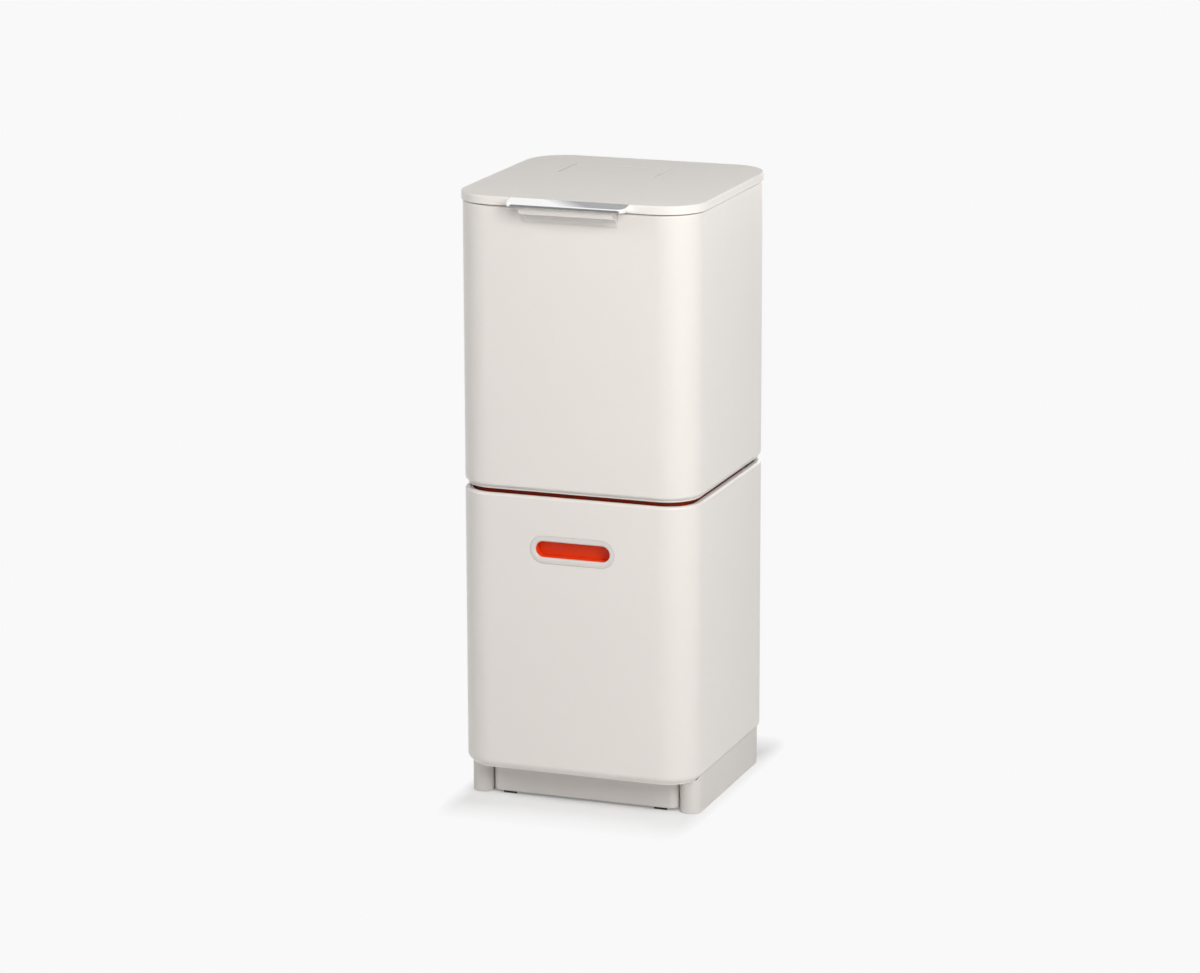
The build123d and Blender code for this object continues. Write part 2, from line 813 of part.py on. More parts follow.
with BuildPart() as runner_screws:
    add(screws(sideways(runner_inner_x), runner_spots, runner_screw_length))
    mirror(about=Plane.YZ)
finish(runner_screws, "runner_screws")

# Drawer tray: the deck, its side and rear walls, the plinth at the front and the wheel ribs
wheel_side = wheel_width / 2
rib_high_x = wheel_x - wheel_side - wheel_side_gap
rib_low_x = rib_high_x - axle_rib
rib_back_y = wheel_y + wheel_radius + axle_rib
drawer_back_front_y = drawer_rear_y - drawer_back_wall


def apron(inset, bottom, edge_radius):
    """Block with rounded front corners for the plinth, moved inwards."""
    half = plinth_half_width - inset
    with BuildPart() as solid:
        block(-half, half, plinth_front_y + inset, 0, bottom, drawer_shell_bottom)
        corners = solid.edges().filter_by(Axis.Z).group_by(Axis.Y)[0]
        fillet(corners, plinth_corner_radius - inset)
        if edge_radius > 0:
            fillet(end_edges(solid, 0).group_by(Axis.Y)[:-1], edge_radius)
    return solid.part


def axles(radius):
    """Bars on the axis of the two front wheels, for the axles and their holes."""
    with BuildPart() as bars:
        with BuildSketch(sideways(rib_low_x)):
            with Locations((wheel_y, wheel_z)):
                Circle(radius)
        extrude(amount=tray_half_width - rib_low_x)
        mirror(about=Plane.YZ)
    return bars.part


with BuildPart() as drawer_tray:
    add(apron(0, plinth_floor_gap, plinth_edge_radius))
    add(apron(tray_wall, 0, 0), mode=Mode.SUBTRACT)
    block(-body_width, body_width, plinth_front_y + plinth_return, body_depth, 0, body_depth, Mode.SUBTRACT)
    with BuildSketch(level(drawer_shell_bottom)):
        outline(shell_lip + fit_gap)
    extrude(amount=tray_deck)
    block(-body_width, body_width, drawer_rear_y, body_depth, 0, lid_top, Mode.SUBTRACT)
    block_pair(tray_half_width - tray_wall, tray_half_width, plinth_front_y + tray_wall, drawer_rear_y,
               tray_floor_gap, drawer_shell_bottom)
    block(-tray_half_width, tray_half_width, drawer_back_front_y, drawer_rear_y,
          tray_floor_gap, drawer_shell_bottom)
    block_pair(rib_low_x, rib_high_x, plinth_front_y + tray_wall, rib_back_y,
               tray_floor_gap, drawer_shell_bottom)
    for y in tray_rib_places:
        block(-tray_half_width, tray_half_width, y - tray_wall / 2, y + tray_wall / 2,
              drawer_shell_bottom - tray_rib_height, drawer_shell_bottom)
    add(axles(axle_radius + pin_seat_gap), mode=Mode.SUBTRACT)
    side_holes = screw_holes(sideways(runner_inner_x), runner_spots, runner_screw_length)
    add(side_holes, mode=Mode.SUBTRACT)
    mirror(side_holes, about=Plane.YZ, mode=Mode.SUBTRACT)
finish(drawer_tray, "drawer_tray")

with BuildPart() as wheel_axles:
    add(axles(axle_radius))
finish(wheel_axles, "wheel_axles")


def wheel_ring(outer, inner):
    """Right wheel ring on the wheel axis."""
    with BuildPart() as ring:
        with BuildSketch(sideways(wheel_x - wheel_side)):
            with Locations((wheel_y, wheel_z)):
                Circle(outer)
                Circle(inner, mode=Mode.SUBTRACT)
        extrude(amount=wheel_width)
    return ring.part


def wheel_hub():
    """Right hub with a groove in both faces."""
    with BuildPart() as hub:
        add(wheel_ring(hub_radius, axle_radius + pin_clearance))
        for x_low in (wheel_x - wheel_side, wheel_x + wheel_side - hub_groove_depth):
            with BuildSketch(sideways(x_low)):
                with Locations((wheel_y, wheel_z)):
                    Circle(hub_groove_outer)
                    Circle(hub_groove_inner, mode=Mode.SUBTRACT)
            extrude(amount=hub_groove_depth, mode=Mode.SUBTRACT)
    return hub.part


def wheel_tyre():
    """Right rubber tyre with rounded shoulders."""
    with BuildPart() as tyre:
        add(wheel_ring(wheel_radius, hub_radius))
        shoulders = tyre.edges().filter_by(GeomType.CIRCLE).group_by(SortBy.RADIUS)[-1]
        fillet(shoulders, tyre_edge_radius)
    return tyre.part


# Front wheels behind the plinth, which carry the open drawer
with BuildPart() as right_wheel_hub:
    add(wheel_hub())
finish(right_wheel_hub, "right_wheel_hub")

with BuildPart() as left_wheel_hub:
    mirror(wheel_hub(), about=Plane.YZ)
finish(left_wheel_hub, "left_wheel_hub")

with BuildPart() as right_wheel_tyre:
    add(wheel_tyre())
finish(right_wheel_tyre, "right_wheel_tyre")

with BuildPart() as left_wheel_tyre:
    mirror(wheel_tyre(), about=Plane.YZ)
finish(left_wheel_tyre, "left_wheel_tyre")

# Drawer front and sides: one painted wrap with the slot for the finger pull
bezel_flange_back = front_y + sheet + bezel_flange_wall


def slot_block(front, back, border_x, border_z):
    """Slot-shaped block between two depths, larger than the finger opening by a border."""
    with BuildPart() as slot:
        with BuildSketch(forward(back)):
            with Locations((0, pull_z)):
                SlotOverall(pull_width + 2 * border_x, pull_height + 2 * border_z)
        extrude(amount=back - front)
    return slot.part


with BuildPart() as drawer_shell:
    add(rolled_wrap(drawer_shell_bottom, drawer_top, drawer_bottom_roll, drawer_top_roll, sheet,
                    drawer_top_lip))
    split(bisect_by=seam_front, keep=Keep.TOP)
    add(slot_block(front_y - sheet, bucket_front_y, bezel_border_x + fit_gap, bezel_border_z + fit_gap),
        mode=Mode.SUBTRACT)
finish(drawer_shell, "drawer_shell")

with BuildPart() as drawer_bottom_trim:
    add(trim_ring(drawer_bottom, drawer_trim_height, drawer_bottom_roll, trim_width, seam_front))
    block(-spine_half_width - drawer_rear_gap, spine_half_width + drawer_rear_gap, drawer_rear_y, body_depth,
          0, lid_top, Mode.SUBTRACT)
finish(drawer_bottom_trim, "drawer_bottom_trim")

# Stiffening strip under the top lip of the drawer wrap
top_trim_top = drawer_top - sheet
with BuildPart() as drawer_top_trim:
    with BuildSketch(level(top_trim_top - top_trim_height)):
        outline(top_trim_inset)
        outline(top_trim_inset + top_trim_wall, Mode.SUBTRACT)
    extrude(amount=top_trim_height)
    with BuildSketch(level(top_trim_top - top_trim_wall)):
        outline(top_trim_inset)
        outline(top_trim_inset + top_trim_width, Mode.SUBTRACT)
    extrude(amount=top_trim_wall)
    split(bisect_by=seam_front, keep=Keep.TOP)
finish(drawer_top_trim, "drawer_top_trim")

# Back panel of the drawer, and the rubber stops on it that meet the spine
back_low = drawer_shell_bottom + drawer_bottom_roll + tray_deck
with BuildPart() as drawer_back:
    with BuildSketch(level(tray_top)):
        outline(shell_lip + fit_gap)
    extrude(amount=back_low - tray_top)
    with BuildSketch(level(back_low)):
        outline(sheet + fit_gap)
    extrude(amount=top_trim_top - top_trim_height - fit_gap - back_low)
    block(-body_width, body_width, -body_depth, drawer_back_front_y, 0, lid_top, Mode.SUBTRACT)
    block(-body_width, body_width, drawer_rear_y, body_depth, 0, lid_top, Mode.SUBTRACT)
finish(drawer_back, "drawer_back")

with BuildPart() as drawer_buffers:
    with BuildSketch(rearward(drawer_rear_y)):
        with Locations((-buffer_x, buffer_z), (buffer_x, buffer_z)):
            Circle(buffer_radius)
    extrude(amount=drawer_rear_gap - fit_gap)
finish(drawer_buffers, "drawer_buffers")

# Finger pull: a flush bezel, its flange behind the sheet and a tube towards the bucket
with BuildPart() as finger_pull_bezel:
    add(slot_block(front_y, front_y + sheet, bezel_border_x, bezel_border_z))
    add(slot_block(front_y + sheet, bezel_flange_back, bezel_border_x + bezel_flange,
                   bezel_border_z + bezel_flange))
    add(slot_block(bezel_flange_back, bucket_front_y - bezel_tube_gap, bezel_tube_wall, bezel_tube_wall))
    add(slot_block(front_y - sheet, bucket_front_y, 0, 0), mode=Mode.SUBTRACT)
    rim = finger_pull_bezel.faces().filter_by(Plane.XZ).sort_by(Axis.Y)[0]
    fillet(rim.inner_wires()[0].edges(), bezel_edge_radius)
finish(finger_pull_bezel, "finger_pull_bezel")

# Drawer bucket with its flange and the rib pairs that guide the divider
bucket_rim = upper_bottom - drawer_bucket_headroom
bucket_inner_x = bucket_width / 2 - bucket_wall
divider_bottom = tray_top + bucket_floor
divider_top = divider_bottom + divider_height
divider_half = divider_wall / 2
with BuildPart() as drawer_bucket:
    add(bucket_block(0, tray_top, bucket_rim, bucket_bottom_radius))
    with BuildSketch(bucket_level(bucket_rim)):
        bucket_outline(drawer_bucket_flange)
    extrude(amount=-drawer_bucket_rim)
    add(bucket_block(-bucket_wall, divider_bottom, lid_top, bucket_bottom_radius - bucket_wall),
        mode=Mode.SUBTRACT)
    for y_low in (divider_y - divider_half - divider_gap - guide_rib, divider_y + divider_half + divider_gap):
        block_pair(bucket_inner_x - guide_depth, bucket_inner_x, y_low, y_low + guide_rib,
                   divider_bottom, divider_top)
finish(drawer_bucket, "drawer_bucket")

with BuildPart() as bucket_divider:
    block(divider_gap - bucket_inner_x, bucket_inner_x - divider_gap, divider_y - divider_half,
          divider_y + divider_half, divider_bottom, divider_top)
    fillet(bucket_divider.edges().filter_by(Axis.Y).group_by(Axis.Z)[0], divider_corner_radius)
    with BuildSketch(forward(divider_y - divider_half)):
        with Locations((0, divider_top - divider_grip_drop)):
            SlotOverall(divider_grip_width, divider_grip_height)
    extrude(amount=-divider_wall, mode=Mode.SUBTRACT)
finish(bucket_divider, "bucket_divider")

# Lid cover: the painted top with its turned-down edge, the vent opening and the screw bosses
lid_spots = [(x, y) for x in (-lid_screw_x, lid_screw_x) for y in lid_screw_places]
lid_screw_seat = dish_bottom + small_head_height + pin_clearance
lid_screw_spots = [(x, -y) for x, y in lid_spots]
handle_spots = [(x, lid_bottom + handle_screw_height) for x in (-handle_screw_x, 0, handle_screw_x)]
handle_seat_y = lid_front_y + lid_wall
vent_half_x = vent_width / 2
vent_half_y = vent_depth / 2

with BuildPart() as lid_cover:
    with BuildSketch(level(lid_bottom)):
        lid_outline(0)
    extrude(amount=lid_edge_height)
    fillet(end_edges(lid_cover, -1), lid_top_edge_radius)
    fillet(end_edges(lid_cover, 0), lid_bottom_edge_radius)
    with BuildSketch(level(lid_bottom)):
        lid_outline(lid_wall)
    extrude(amount=lid_skin - lid_bottom, mode=Mode.SUBTRACT)
    block(vent_x - vent_half_x - vent_slot, vent_x + vent_half_x + vent_slot, vent_y - vent_half_y - fit_gap,
          vent_y + vent_half_y + fit_gap, lid_bottom, lid_top, Mode.SUBTRACT)
    with BuildSketch(level(dish_floor)):
        with Locations(*lid_spots):
            Circle(lid_boss_radius)
    extrude(amount=lid_skin - dish_floor)
    add(screw_holes(downward(lid_screw_seat), lid_screw_spots, lid_screw_length, small_shank_radius),
        mode=Mode.SUBTRACT)
    add(screw_holes(rearward(handle_seat_y), handle_spots, handle_screw_length, small_shank_radius),
        mode=Mode.SUBTRACT)
finish(lid_cover, "lid_cover")

# Lid liner: the plate inside the lid, the dish that dips into the mouth and the two hinge arms
door_width = filter_width + 2 * door_side_margin
door_depth = filter_depth + 2 * door_end_margin
door_axis_y = vent_y + door_depth / 2
door_front_y = door_axis_y - door_depth
door_half = door_width / 2
door_axis_z = dish_bottom + door_barrel_radius
door_boss_low = door_half + fit_gap
door_boss_high = door_boss_low + door_boss_width
with BuildPart() as lid_liner:
    with BuildSketch(level(liner_bottom)):
        lid_outline(lid_wall + fit_gap)
    extrude(amount=liner_plate)
    add(bucket_block(-dish_inset, dish_bottom, liner_bottom, dish_edge_radius))
    add(bucket_block(-dish_inset - liner_plate, dish_floor, lid_top, dish_edge_radius - sheet),
        mode=Mode.SUBTRACT)
    block(vent_x - door_boss_low, vent_x + door_boss_low, door_front_y - fit_gap,
          door_axis_y + door_barrel_radius + fit_gap, 0, lid_top, Mode.SUBTRACT)
    for x_low in (vent_x - door_boss_high, vent_x + door_boss_low):
        block(x_low, x_low + door_boss_width, door_axis_y - door_boss_half, door_axis_y + door_boss_half,
              dish_bottom, dish_bottom + door_boss_height)
    with BuildSketch(sideways(vent_x - door_boss_high)):
        with Locations((door_axis_y, door_axis_z)):
            Circle(door_trunnion_radius + pin_clearance)
    extrude(amount=2 * door_boss_high, mode=Mode.SUBTRACT)
    for x_low in (hinge_x - arm_half, -hinge_x - arm_half):
        with BuildSketch(sideways(x_low)):
            with Locations((hinge_y, hinge_z)):
                Circle(hinge_knuckle_radius)
            with Locations((hinge_y, (hinge_z + liner_bottom) / 2)):
                Rectangle(2 * hinge_knuckle_radius, liner_bottom - hinge_z)
        extrude(amount=hinge_arm_width)
    add(hinge_bores(hinge_pin_radius + pin_clearance), mode=Mode.SUBTRACT)
    with BuildSketch(downward(lid_screw_seat)):
        with Locations(*lid_screw_spots):
            Circle(small_head_radius + fit_gap)
    extrude(amount=liner_plate, mode=Mode.SUBTRACT)
    add(screw_holes(downward(lid_screw_seat), lid_screw_spots, lid_screw_length, small_shank_radius),
        mode=Mode.SUBTRACT)
finish(lid_liner, "lid_liner")

with BuildPart() as lid_screws:
    add(screws(downward(lid_screw_seat), lid_screw_spots, lid_screw_length, small_head_radius,
               small_head_height, small_shank_radius))
finish(lid_screws, "lid_screws")

# Rubber seal under the lid, pressed towards the top frame around the mouth
with BuildPart() as lid_seal:
    with BuildSketch(bucket_level(frame_top + fit_gap)):
        bucket_outline(seal_inner_grow + seal_width)
        bucket_outline(seal_inner_grow, Mode.SUBTRACT)
    extrude(amount=liner_bottom - frame_top - fit_gap)
finish(lid_seal, "lid_seal")

# Vent cover: flush plate with an air slot at both sides, held under the lid skin
vent_bottom = lid_skin - vent_flange_wall
with BuildPart() as vent_cover:
    block(vent_x - vent_half_x, vent_x + vent_half_x, vent_y - vent_half_y, vent_y + vent_half_y,
          vent_bottom, lid_top)
    fillet(end_edges(vent_cover, -1), vent_edge_radius)
    block(vent_x - vent_half_x, vent_x + vent_half_x, vent_y - vent_half_y - vent_flange,
          vent_y + vent_half_y + vent_flange, vent_bottom, lid_skin)
finish(vent_cover, "vent_cover")

# Filter holder on the floor of the dish, and the carbon filter in it
holder_cavity_x = filter_width / 2 + fit_gap
holder_cavity_y = filter_depth / 2 + fit_gap
holder_half_x = holder_cavity_x + holder_wall
holder_half_y = holder_cavity_y + holder_wall
ear_half_x = holder_half_x + holder_ear
ear_half_y = holder_ear_depth / 2
gap_half_x = filter_width / 2 - holder_lip
gap_half_y = filter_depth / 2 - holder_lip
filter_bottom = dish_floor + holder_base
with BuildPart() as filter_holder:
    block(vent_x - holder_half_x, vent_x + holder_half_x, vent_y - holder_half_y, vent_y + holder_half_y,
          dish_floor, filter_bottom + filter_height + sheet)
    block(vent_x - ear_half_x, vent_x + ear_half_x, vent_y - ear_half_y, vent_y + ear_half_y,
          dish_floor, dish_floor + holder_wall)
    block(vent_x - holder_cavity_x, vent_x + holder_cavity_x, vent_y - holder_cavity_y,
          vent_y + holder_cavity_y, filter_bottom, lid_top, Mode.SUBTRACT)
    block(vent_x - gap_half_x, vent_x + gap_half_x, vent_y - gap_half_y, vent_y + gap_half_y,
          dish_floor, lid_top, Mode.SUBTRACT)
finish(filter_holder, "filter_holder")

with BuildPart() as carbon_filter:
    block(vent_x - filter_width / 2, vent_x + filter_width / 2, vent_y - filter_depth / 2,
          vent_y + filter_depth / 2, filter_bottom, filter_bottom + filter_height)
finish(carbon_filter, "carbon_filter")

# Slotted door under the filter, which swings down on its own trunnions
with BuildPart() as filter_door:
    block(vent_x - door_half, vent_x + door_half, door_front_y, door_axis_y,
          dish_bottom, dish_bottom + door_wall)
    with BuildSketch(sideways(vent_x - door_half)):
        with Locations((door_axis_y, door_axis_z)):
            Circle(door_barrel_radius)
    extrude(amount=door_width)
    with BuildSketch(sideways(vent_x - door_half - door_trunnion_length)):
        with Locations((door_axis_y, door_axis_z)):
            Circle(door_trunnion_radius)
    extrude(amount=door_width + 2 * door_trunnion_length)
    with BuildSketch(level(dish_bottom)):
        with Locations((vent_x, vent_y - door_barrel_radius)):
            with GridLocations(door_slot_pitch, 1, door_slot_count, 1):
                SlotOverall(door_slot_length, door_slot_width, rotation=90)
    extrude(amount=door_wall, mode=Mode.SUBTRACT)
finish(filter_door, "filter_door")

# Handle: a bent steel cap over a moulded grip that hangs in front of the lid's edge
cap_bottom = lid_top - handle_slope_drop - handle_lip_height
carrier_bottom = cap_bottom - grip_shell_gap
grip_front_y = lid_front_y - grip_depth
grip_rear_y = front_y - grip_shell_gap
face_bottom = carrier_bottom - grip_face_height
cove_bottom = face_bottom - grip_cove_height
grip_step_z = lid_bottom - grip_shell_gap
handle_slope = handle_slope_drop / handle_reach


def handle_plate(inset, bottom):
    """Sloped handle plate with rounded front corners, moved inwards."""
    half = handle_half_width - inset
    reach = handle_reach - inset
    top = lid_top - inset
    with BuildPart() as plate:
        with BuildSketch(sideways(-half)):
            with BuildLine():
                Polyline((lid_front_y, bottom), (lid_front_y - reach, bottom),
                         (lid_front_y - reach, top - handle_slope * reach), (lid_front_y, top), close=True)
            make_face()
        extrude(amount=2 * half)
        corners = plate.edges().filter_by(Axis.Z).group_by(Axis.Y)[0]
        fillet(corners, handle_corner_radius - inset)
        if inset == 0:
            rim = plate.faces().sort_by(Axis.Z)[-1].edges().group_by(Axis.Y)[:-1]
            fillet(rim, handle_edge_radius)
    return plate.part


with BuildPart() as handle_cap:
    add(handle_plate(0, cap_bottom))
    add(handle_plate(handle_steel, cap_bottom - handle_steel), mode=Mode.SUBTRACT)
finish(handle_cap, "handle_cap")

with BuildPart() as handle_grip:
    with BuildSketch(sideways(-grip_half_width)):
        with BuildLine():
            Polyline((grip_front_y, face_bottom), (grip_front_y, cap_bottom),
                     (lid_front_y, cap_bottom), (lid_front_y, grip_step_z),
                     (grip_rear_y, grip_step_z), (grip_rear_y, cove_bottom),
                     (grip_rear_y - grip_root, cove_bottom))
            EllipticalCenterArc((grip_front_y, cove_bottom), grip_rear_y - grip_root - grip_front_y,
                                grip_cove_height, start_angle=0, arc_size=90)
        make_face()
    extrude(amount=2 * grip_half_width)
    add(handle_plate(handle_steel + fit_gap, carrier_bottom))
    add(screw_holes(rearward(handle_seat_y), handle_spots, handle_screw_length, small_shank_radius),
        mode=Mode.SUBTRACT)
finish(handle_grip, "handle_grip")

with BuildPart() as handle_screws:
    add(screws(rearward(handle_seat_y), handle_spots, handle_screw_length, small_head_radius,
               small_head_height, small_shank_radius))
finish(handle_screws, "handle_screws")
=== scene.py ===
# %% [markdown]
# # A two-compartment recycling bin
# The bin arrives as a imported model: every solid piece is already in place, in metres, and grouped into
# the bodies that move. This lesson dresses it. Each piece keeps its CAD shape where that shape is right,
# and is built again as a finer mesh where light shows every flat facet, as it does on painted sheet
# steel.

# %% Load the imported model
import json
import math

import bmesh
import bpy
from mathutils import Matrix, Vector


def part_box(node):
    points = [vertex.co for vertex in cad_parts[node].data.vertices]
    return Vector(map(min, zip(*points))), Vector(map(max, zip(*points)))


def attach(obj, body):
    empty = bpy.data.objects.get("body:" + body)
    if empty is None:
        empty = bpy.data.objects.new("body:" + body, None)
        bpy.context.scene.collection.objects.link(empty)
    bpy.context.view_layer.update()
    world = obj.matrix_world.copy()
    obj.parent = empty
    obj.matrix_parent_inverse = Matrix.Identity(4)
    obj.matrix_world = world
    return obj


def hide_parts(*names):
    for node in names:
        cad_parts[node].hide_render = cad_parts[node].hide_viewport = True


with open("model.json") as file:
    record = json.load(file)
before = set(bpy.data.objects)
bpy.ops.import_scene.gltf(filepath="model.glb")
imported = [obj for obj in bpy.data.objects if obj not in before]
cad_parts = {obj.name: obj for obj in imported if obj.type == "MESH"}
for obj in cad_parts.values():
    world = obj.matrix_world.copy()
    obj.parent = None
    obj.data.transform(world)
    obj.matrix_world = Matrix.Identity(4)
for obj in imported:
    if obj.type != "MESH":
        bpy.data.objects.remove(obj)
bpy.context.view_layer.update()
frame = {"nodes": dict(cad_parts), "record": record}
nodes = frame["nodes"]
print("pieces in the packed model:", len(nodes))

# %% [markdown]
# ## The camera
# The view was solved from the straight edges of the bin in the photograph. A camera could also be nudged
# until the picture looks right, but a solved one puts every edge in its place at once. A long lens from
# more than five metres away keeps the uprights almost parallel. The three angles turn a view along +Y
# into the real one.

# %% Place the camera
VIEW_AZIMUTH = math.radians(20.218)
VIEW_ELEVATION = math.radians(13.828)
VIEW_ROLL = math.radians(-0.168)
LENS_MM = 132.27
CAMERA_PLACE = Vector((1.7862, -4.8929, 1.6535))

backward = Vector((math.sin(VIEW_AZIMUTH) * math.cos(VIEW_ELEVATION),
                   -math.cos(VIEW_AZIMUTH) * math.cos(VIEW_ELEVATION),
                   math.sin(VIEW_ELEVATION)))
level_right = Vector((math.cos(VIEW_AZIMUTH), math.sin(VIEW_AZIMUTH), 0))
level_up = backward.cross(level_right)
rolled_right = math.cos(VIEW_ROLL) * level_right + math.sin(VIEW_ROLL) * level_up
rolled_up = math.cos(VIEW_ROLL) * level_up - math.sin(VIEW_ROLL) * level_right

camera_data = bpy.data.cameras.new("studio_camera")
camera_data.sensor_width = 36
camera_data.lens = LENS_MM
camera_data.clip_end = 100
camera = bpy.data.objects.new("studio_camera", camera_data)
bpy.context.scene.collection.objects.link(camera)
turn = Matrix((rolled_right, rolled_up, backward)).transposed().to_4x4()
camera.matrix_world = Matrix.Translation(CAMERA_PLACE) @ turn
bpy.context.scene.camera = camera
print("camera distance from the bin:", round(CAMERA_PLACE.length, 2), "m")

# %% [markdown]
# ## Node materials
# Every finish is a small network of nodes around one Principled shader. Pictures could be painted on the
# bin instead, but a network fits any size and needs no unwrapping. A few helpers keep the networks short:
# one makes a node and joins its inputs, the others do sums and build the patterns that the finishes
# share.

# %% Helpers for node networks
def new_finish(name, color, roughness, **sockets):
    """A material with a Principled shader and its plain values."""
    material = bpy.data.materials.new(name)
    material.use_nodes = True
    shader = material.node_tree.nodes["Principled BSDF"]
    shader.inputs["Base Color"].default_value = (*color, 1)
    shader.inputs["Roughness"].default_value = roughness
    for socket, value in sockets.items():
        shader.inputs[socket.replace("_", " ")].default_value = value
    material.diffuse_color = (*color, 1)
    return material


def add_node(material, kind, joins=None, **settings):
    """A node with its settings; joins gives an input's name or number and the output or value for it."""
    node = material.node_tree.nodes.new(kind)
    for setting, value in settings.items():
        setattr(node, setting, value)
    for socket, source in (joins or {}).items():
        if hasattr(source, "is_output"):
            material.node_tree.links.new(source, node.inputs[socket])
        else:
            node.inputs[socket].default_value = source
    return node


def place_of(material, stretch=(1, 1, 1)):
    """Coordinates on the object in metres, stretched along its axes."""
    coordinates = add_node(material, "ShaderNodeTexCoord").outputs["Object"]
    mapping = add_node(material, "ShaderNodeMapping", {"Vector": coordinates, "Scale": stretch})
    return mapping.outputs["Vector"]


def noise(material, scale, detail=2.0, stretch=(1, 1, 1), roughness=0.5):
    """Noise from 0 to 1 on the object's own coordinates."""
    node = add_node(material, "ShaderNodeTexNoise", {"Vector": place_of(material, stretch), "Scale": scale,
                                                     "Detail": detail, "Roughness": roughness})
    return node.outputs["Fac"]


def spread(material, value, low, high, source_low=0.3, source_high=0.7):
    """A value mapped onto a new range."""
    joins = {"Value": value, "From Min": source_low, "From Max": source_high, "To Min": low, "To Max": high}
    return add_node(material, "ShaderNodeMapRange", joins).outputs["Result"]


def calc(material, operation, *terms):
    """The result of a math node."""
    return add_node(material, "ShaderNodeMath", dict(enumerate(terms)), operation=operation).outputs[0]


def vector_calc(material, operation, *terms, result="Vector"):
    """The result of a vector math node."""
    node = add_node(material, "ShaderNodeVectorMath", dict(enumerate(terms)), operation=operation)
    return node.outputs[result]


def two_tones(material, value, first, second):
    """A colour between two tones, each a colour or a node's output."""
    ends = [tone if hasattr(tone, "is_output") else (*tone, 1) for tone in (first, second)]
    joins = {"Factor": value, "A": ends[0], "B": ends[1]}
    return add_node(material, "ShaderNodeMix", joins, data_type="RGBA").outputs["Result"]


def join_shader(material, **sources):
    """Join outputs to the shader's sockets."""
    shader = material.node_tree.nodes["Principled BSDF"]
    for socket, source in sources.items():
        material.node_tree.links.new(source, shader.inputs[socket.replace("_", " ")])


def grain(material, height, strength, distance):
    """A bump from a height pattern, in metres."""
    joins = {"Height": height, "Strength": strength, "Distance": distance}
    join_shader(material, Normal=add_node(material, "ShaderNodeBump", joins).outputs["Normal"])


def shade(color, factor):
    """A colour made lighter or darker."""
    return tuple(min(1.0, channel * factor) for channel in color)


print("helpers ready")

# %% [markdown]
# ## Painted steel
# The two wraps and the lid are steel with a satin powder coat. A powder coat is never quite flat: it has
# a fine orange peel, and its tone drifts by a percent or two over the sheet. One colour and one gloss
# would do from afar, but up close they look like card. So a slow noise drives the tone, a quicker one the
# gloss and a fine one the bump. The lid has a duller coat than the wraps, and its colour is made five
# percent lighter than theirs as painted light.

# %% Powder coat
PAINT = (0.795, 0.752, 0.712)  # warm white


def powder_coat(name, color, roughness, coat):
    """Satin powder coat with a given roughness and weight of its clear top layer."""
    material = new_finish(name, color, roughness, Coat_Weight=coat, Coat_Roughness=0.22)
    slow = noise(material, 7.0, detail=3.0)
    join_shader(material, Base_Color=two_tones(material, slow, shade(color, 0.985), shade(color, 1.012)))
    rough = spread(material, noise(material, 60.0), roughness - 0.03, roughness + 0.04)
    join_shader(material, Roughness=rough)
    grain(material, noise(material, 900.0, detail=2.0), 0.06, 0.0004)
    return material


body_paint = powder_coat("powder_coat_finish", PAINT, roughness=0.34, coat=0.12)
# painted light: the lid's colour is the wraps' paint made five percent lighter
lid_paint = powder_coat("lid_coat_finish", shade(PAINT, 1.05), roughness=0.46, coat=0.05)
print("paint", PAINT)

# %% [markdown]
# ## Moulded plastics
# Mouldings take the texture of their mould. The grey ones have a fine spark-eroded grain that scatters
# the light, the orange-red ones come from a smoother mould, and the tone of each drifts a little. A
# displaced mesh could carry that grain, but it would need millions of faces, so a bump from noise does it.

# %% Moulded plastics
TRIM = (0.700, 0.665, 0.632)
# painted light: a paler copy of the trim colour for the shaded trim under the drawer
PAINTED_LIGHT_TRIM = (0.90, 0.87, 0.84)
RED = (0.840, 0.060, 0.006)
STONE = (0.200, 0.190, 0.180)
HUB_BLACK = (0.050, 0.050, 0.052)


def moulding(name, color, roughness, grain_strength, shine=0.5):
    """Moulded plastic with a grained skin."""
    material = new_finish(name, color, roughness, Specular_IOR_Level=shine)
    slow = noise(material, 12.0, detail=2.0)
    join_shader(material, Base_Color=two_tones(material, slow, shade(color, 0.97), shade(color, 1.02)))
    rough = spread(material, noise(material, 140.0), roughness - 0.04, roughness + 0.05)
    join_shader(material, Roughness=rough)
    grain(material, noise(material, 1500.0, detail=3.0), grain_strength, 0.0003)
    return material


trim_plastic = moulding("trim_plastic_finish", TRIM, 0.50, 0.12)
red_plastic = moulding("red_plastic_finish", RED, 0.40, 0.05, shine=0.3)
# painted light: the same trim plastic made paler, for the trim under the drawer
trim_with_painted_light = moulding("trim_painted_light_finish", PAINTED_LIGHT_TRIM, 0.45, 0.08)
grey_plastic = moulding("grey_plastic_finish", STONE, 0.42, 0.08)
hub_plastic = moulding("hub_plastic_finish", HUB_BLACK, 0.48, 0.10)
mouldings = (trim_plastic, trim_with_painted_light, red_plastic, grey_plastic, hub_plastic)
print("mouldings", [plastic.name for plastic in mouldings])

# %% [markdown]
# ## The rim of the drawer's bucket
# With the drawer shut, this bucket shows in two places: behind the finger pull, and as the outside of its
# rim, far back in the gap under the upper bin. There the rim gets painted shade: a darker tone that stands
# in for the shade in the gap and fades out below it. It could be a piece of its own with its own colour,
# but one material that knows where it is keeps the moulding whole. The outside is where the surface turns
# away from the middle of the bucket, so the product of its direction and place says it.

# %% The rim of the drawer's bucket
# painted shade: how dark the outside of the rim is painted, in place of the shade in the gap
RIM_PAINTED_SHADE = 0.42
RIM_OUTWARD = (0.01, 0.04)  # product of direction and place, from inside to outside, in metres
RIM_FADE = (-0.030, -0.018)  # height under the top of the bucket, in metres


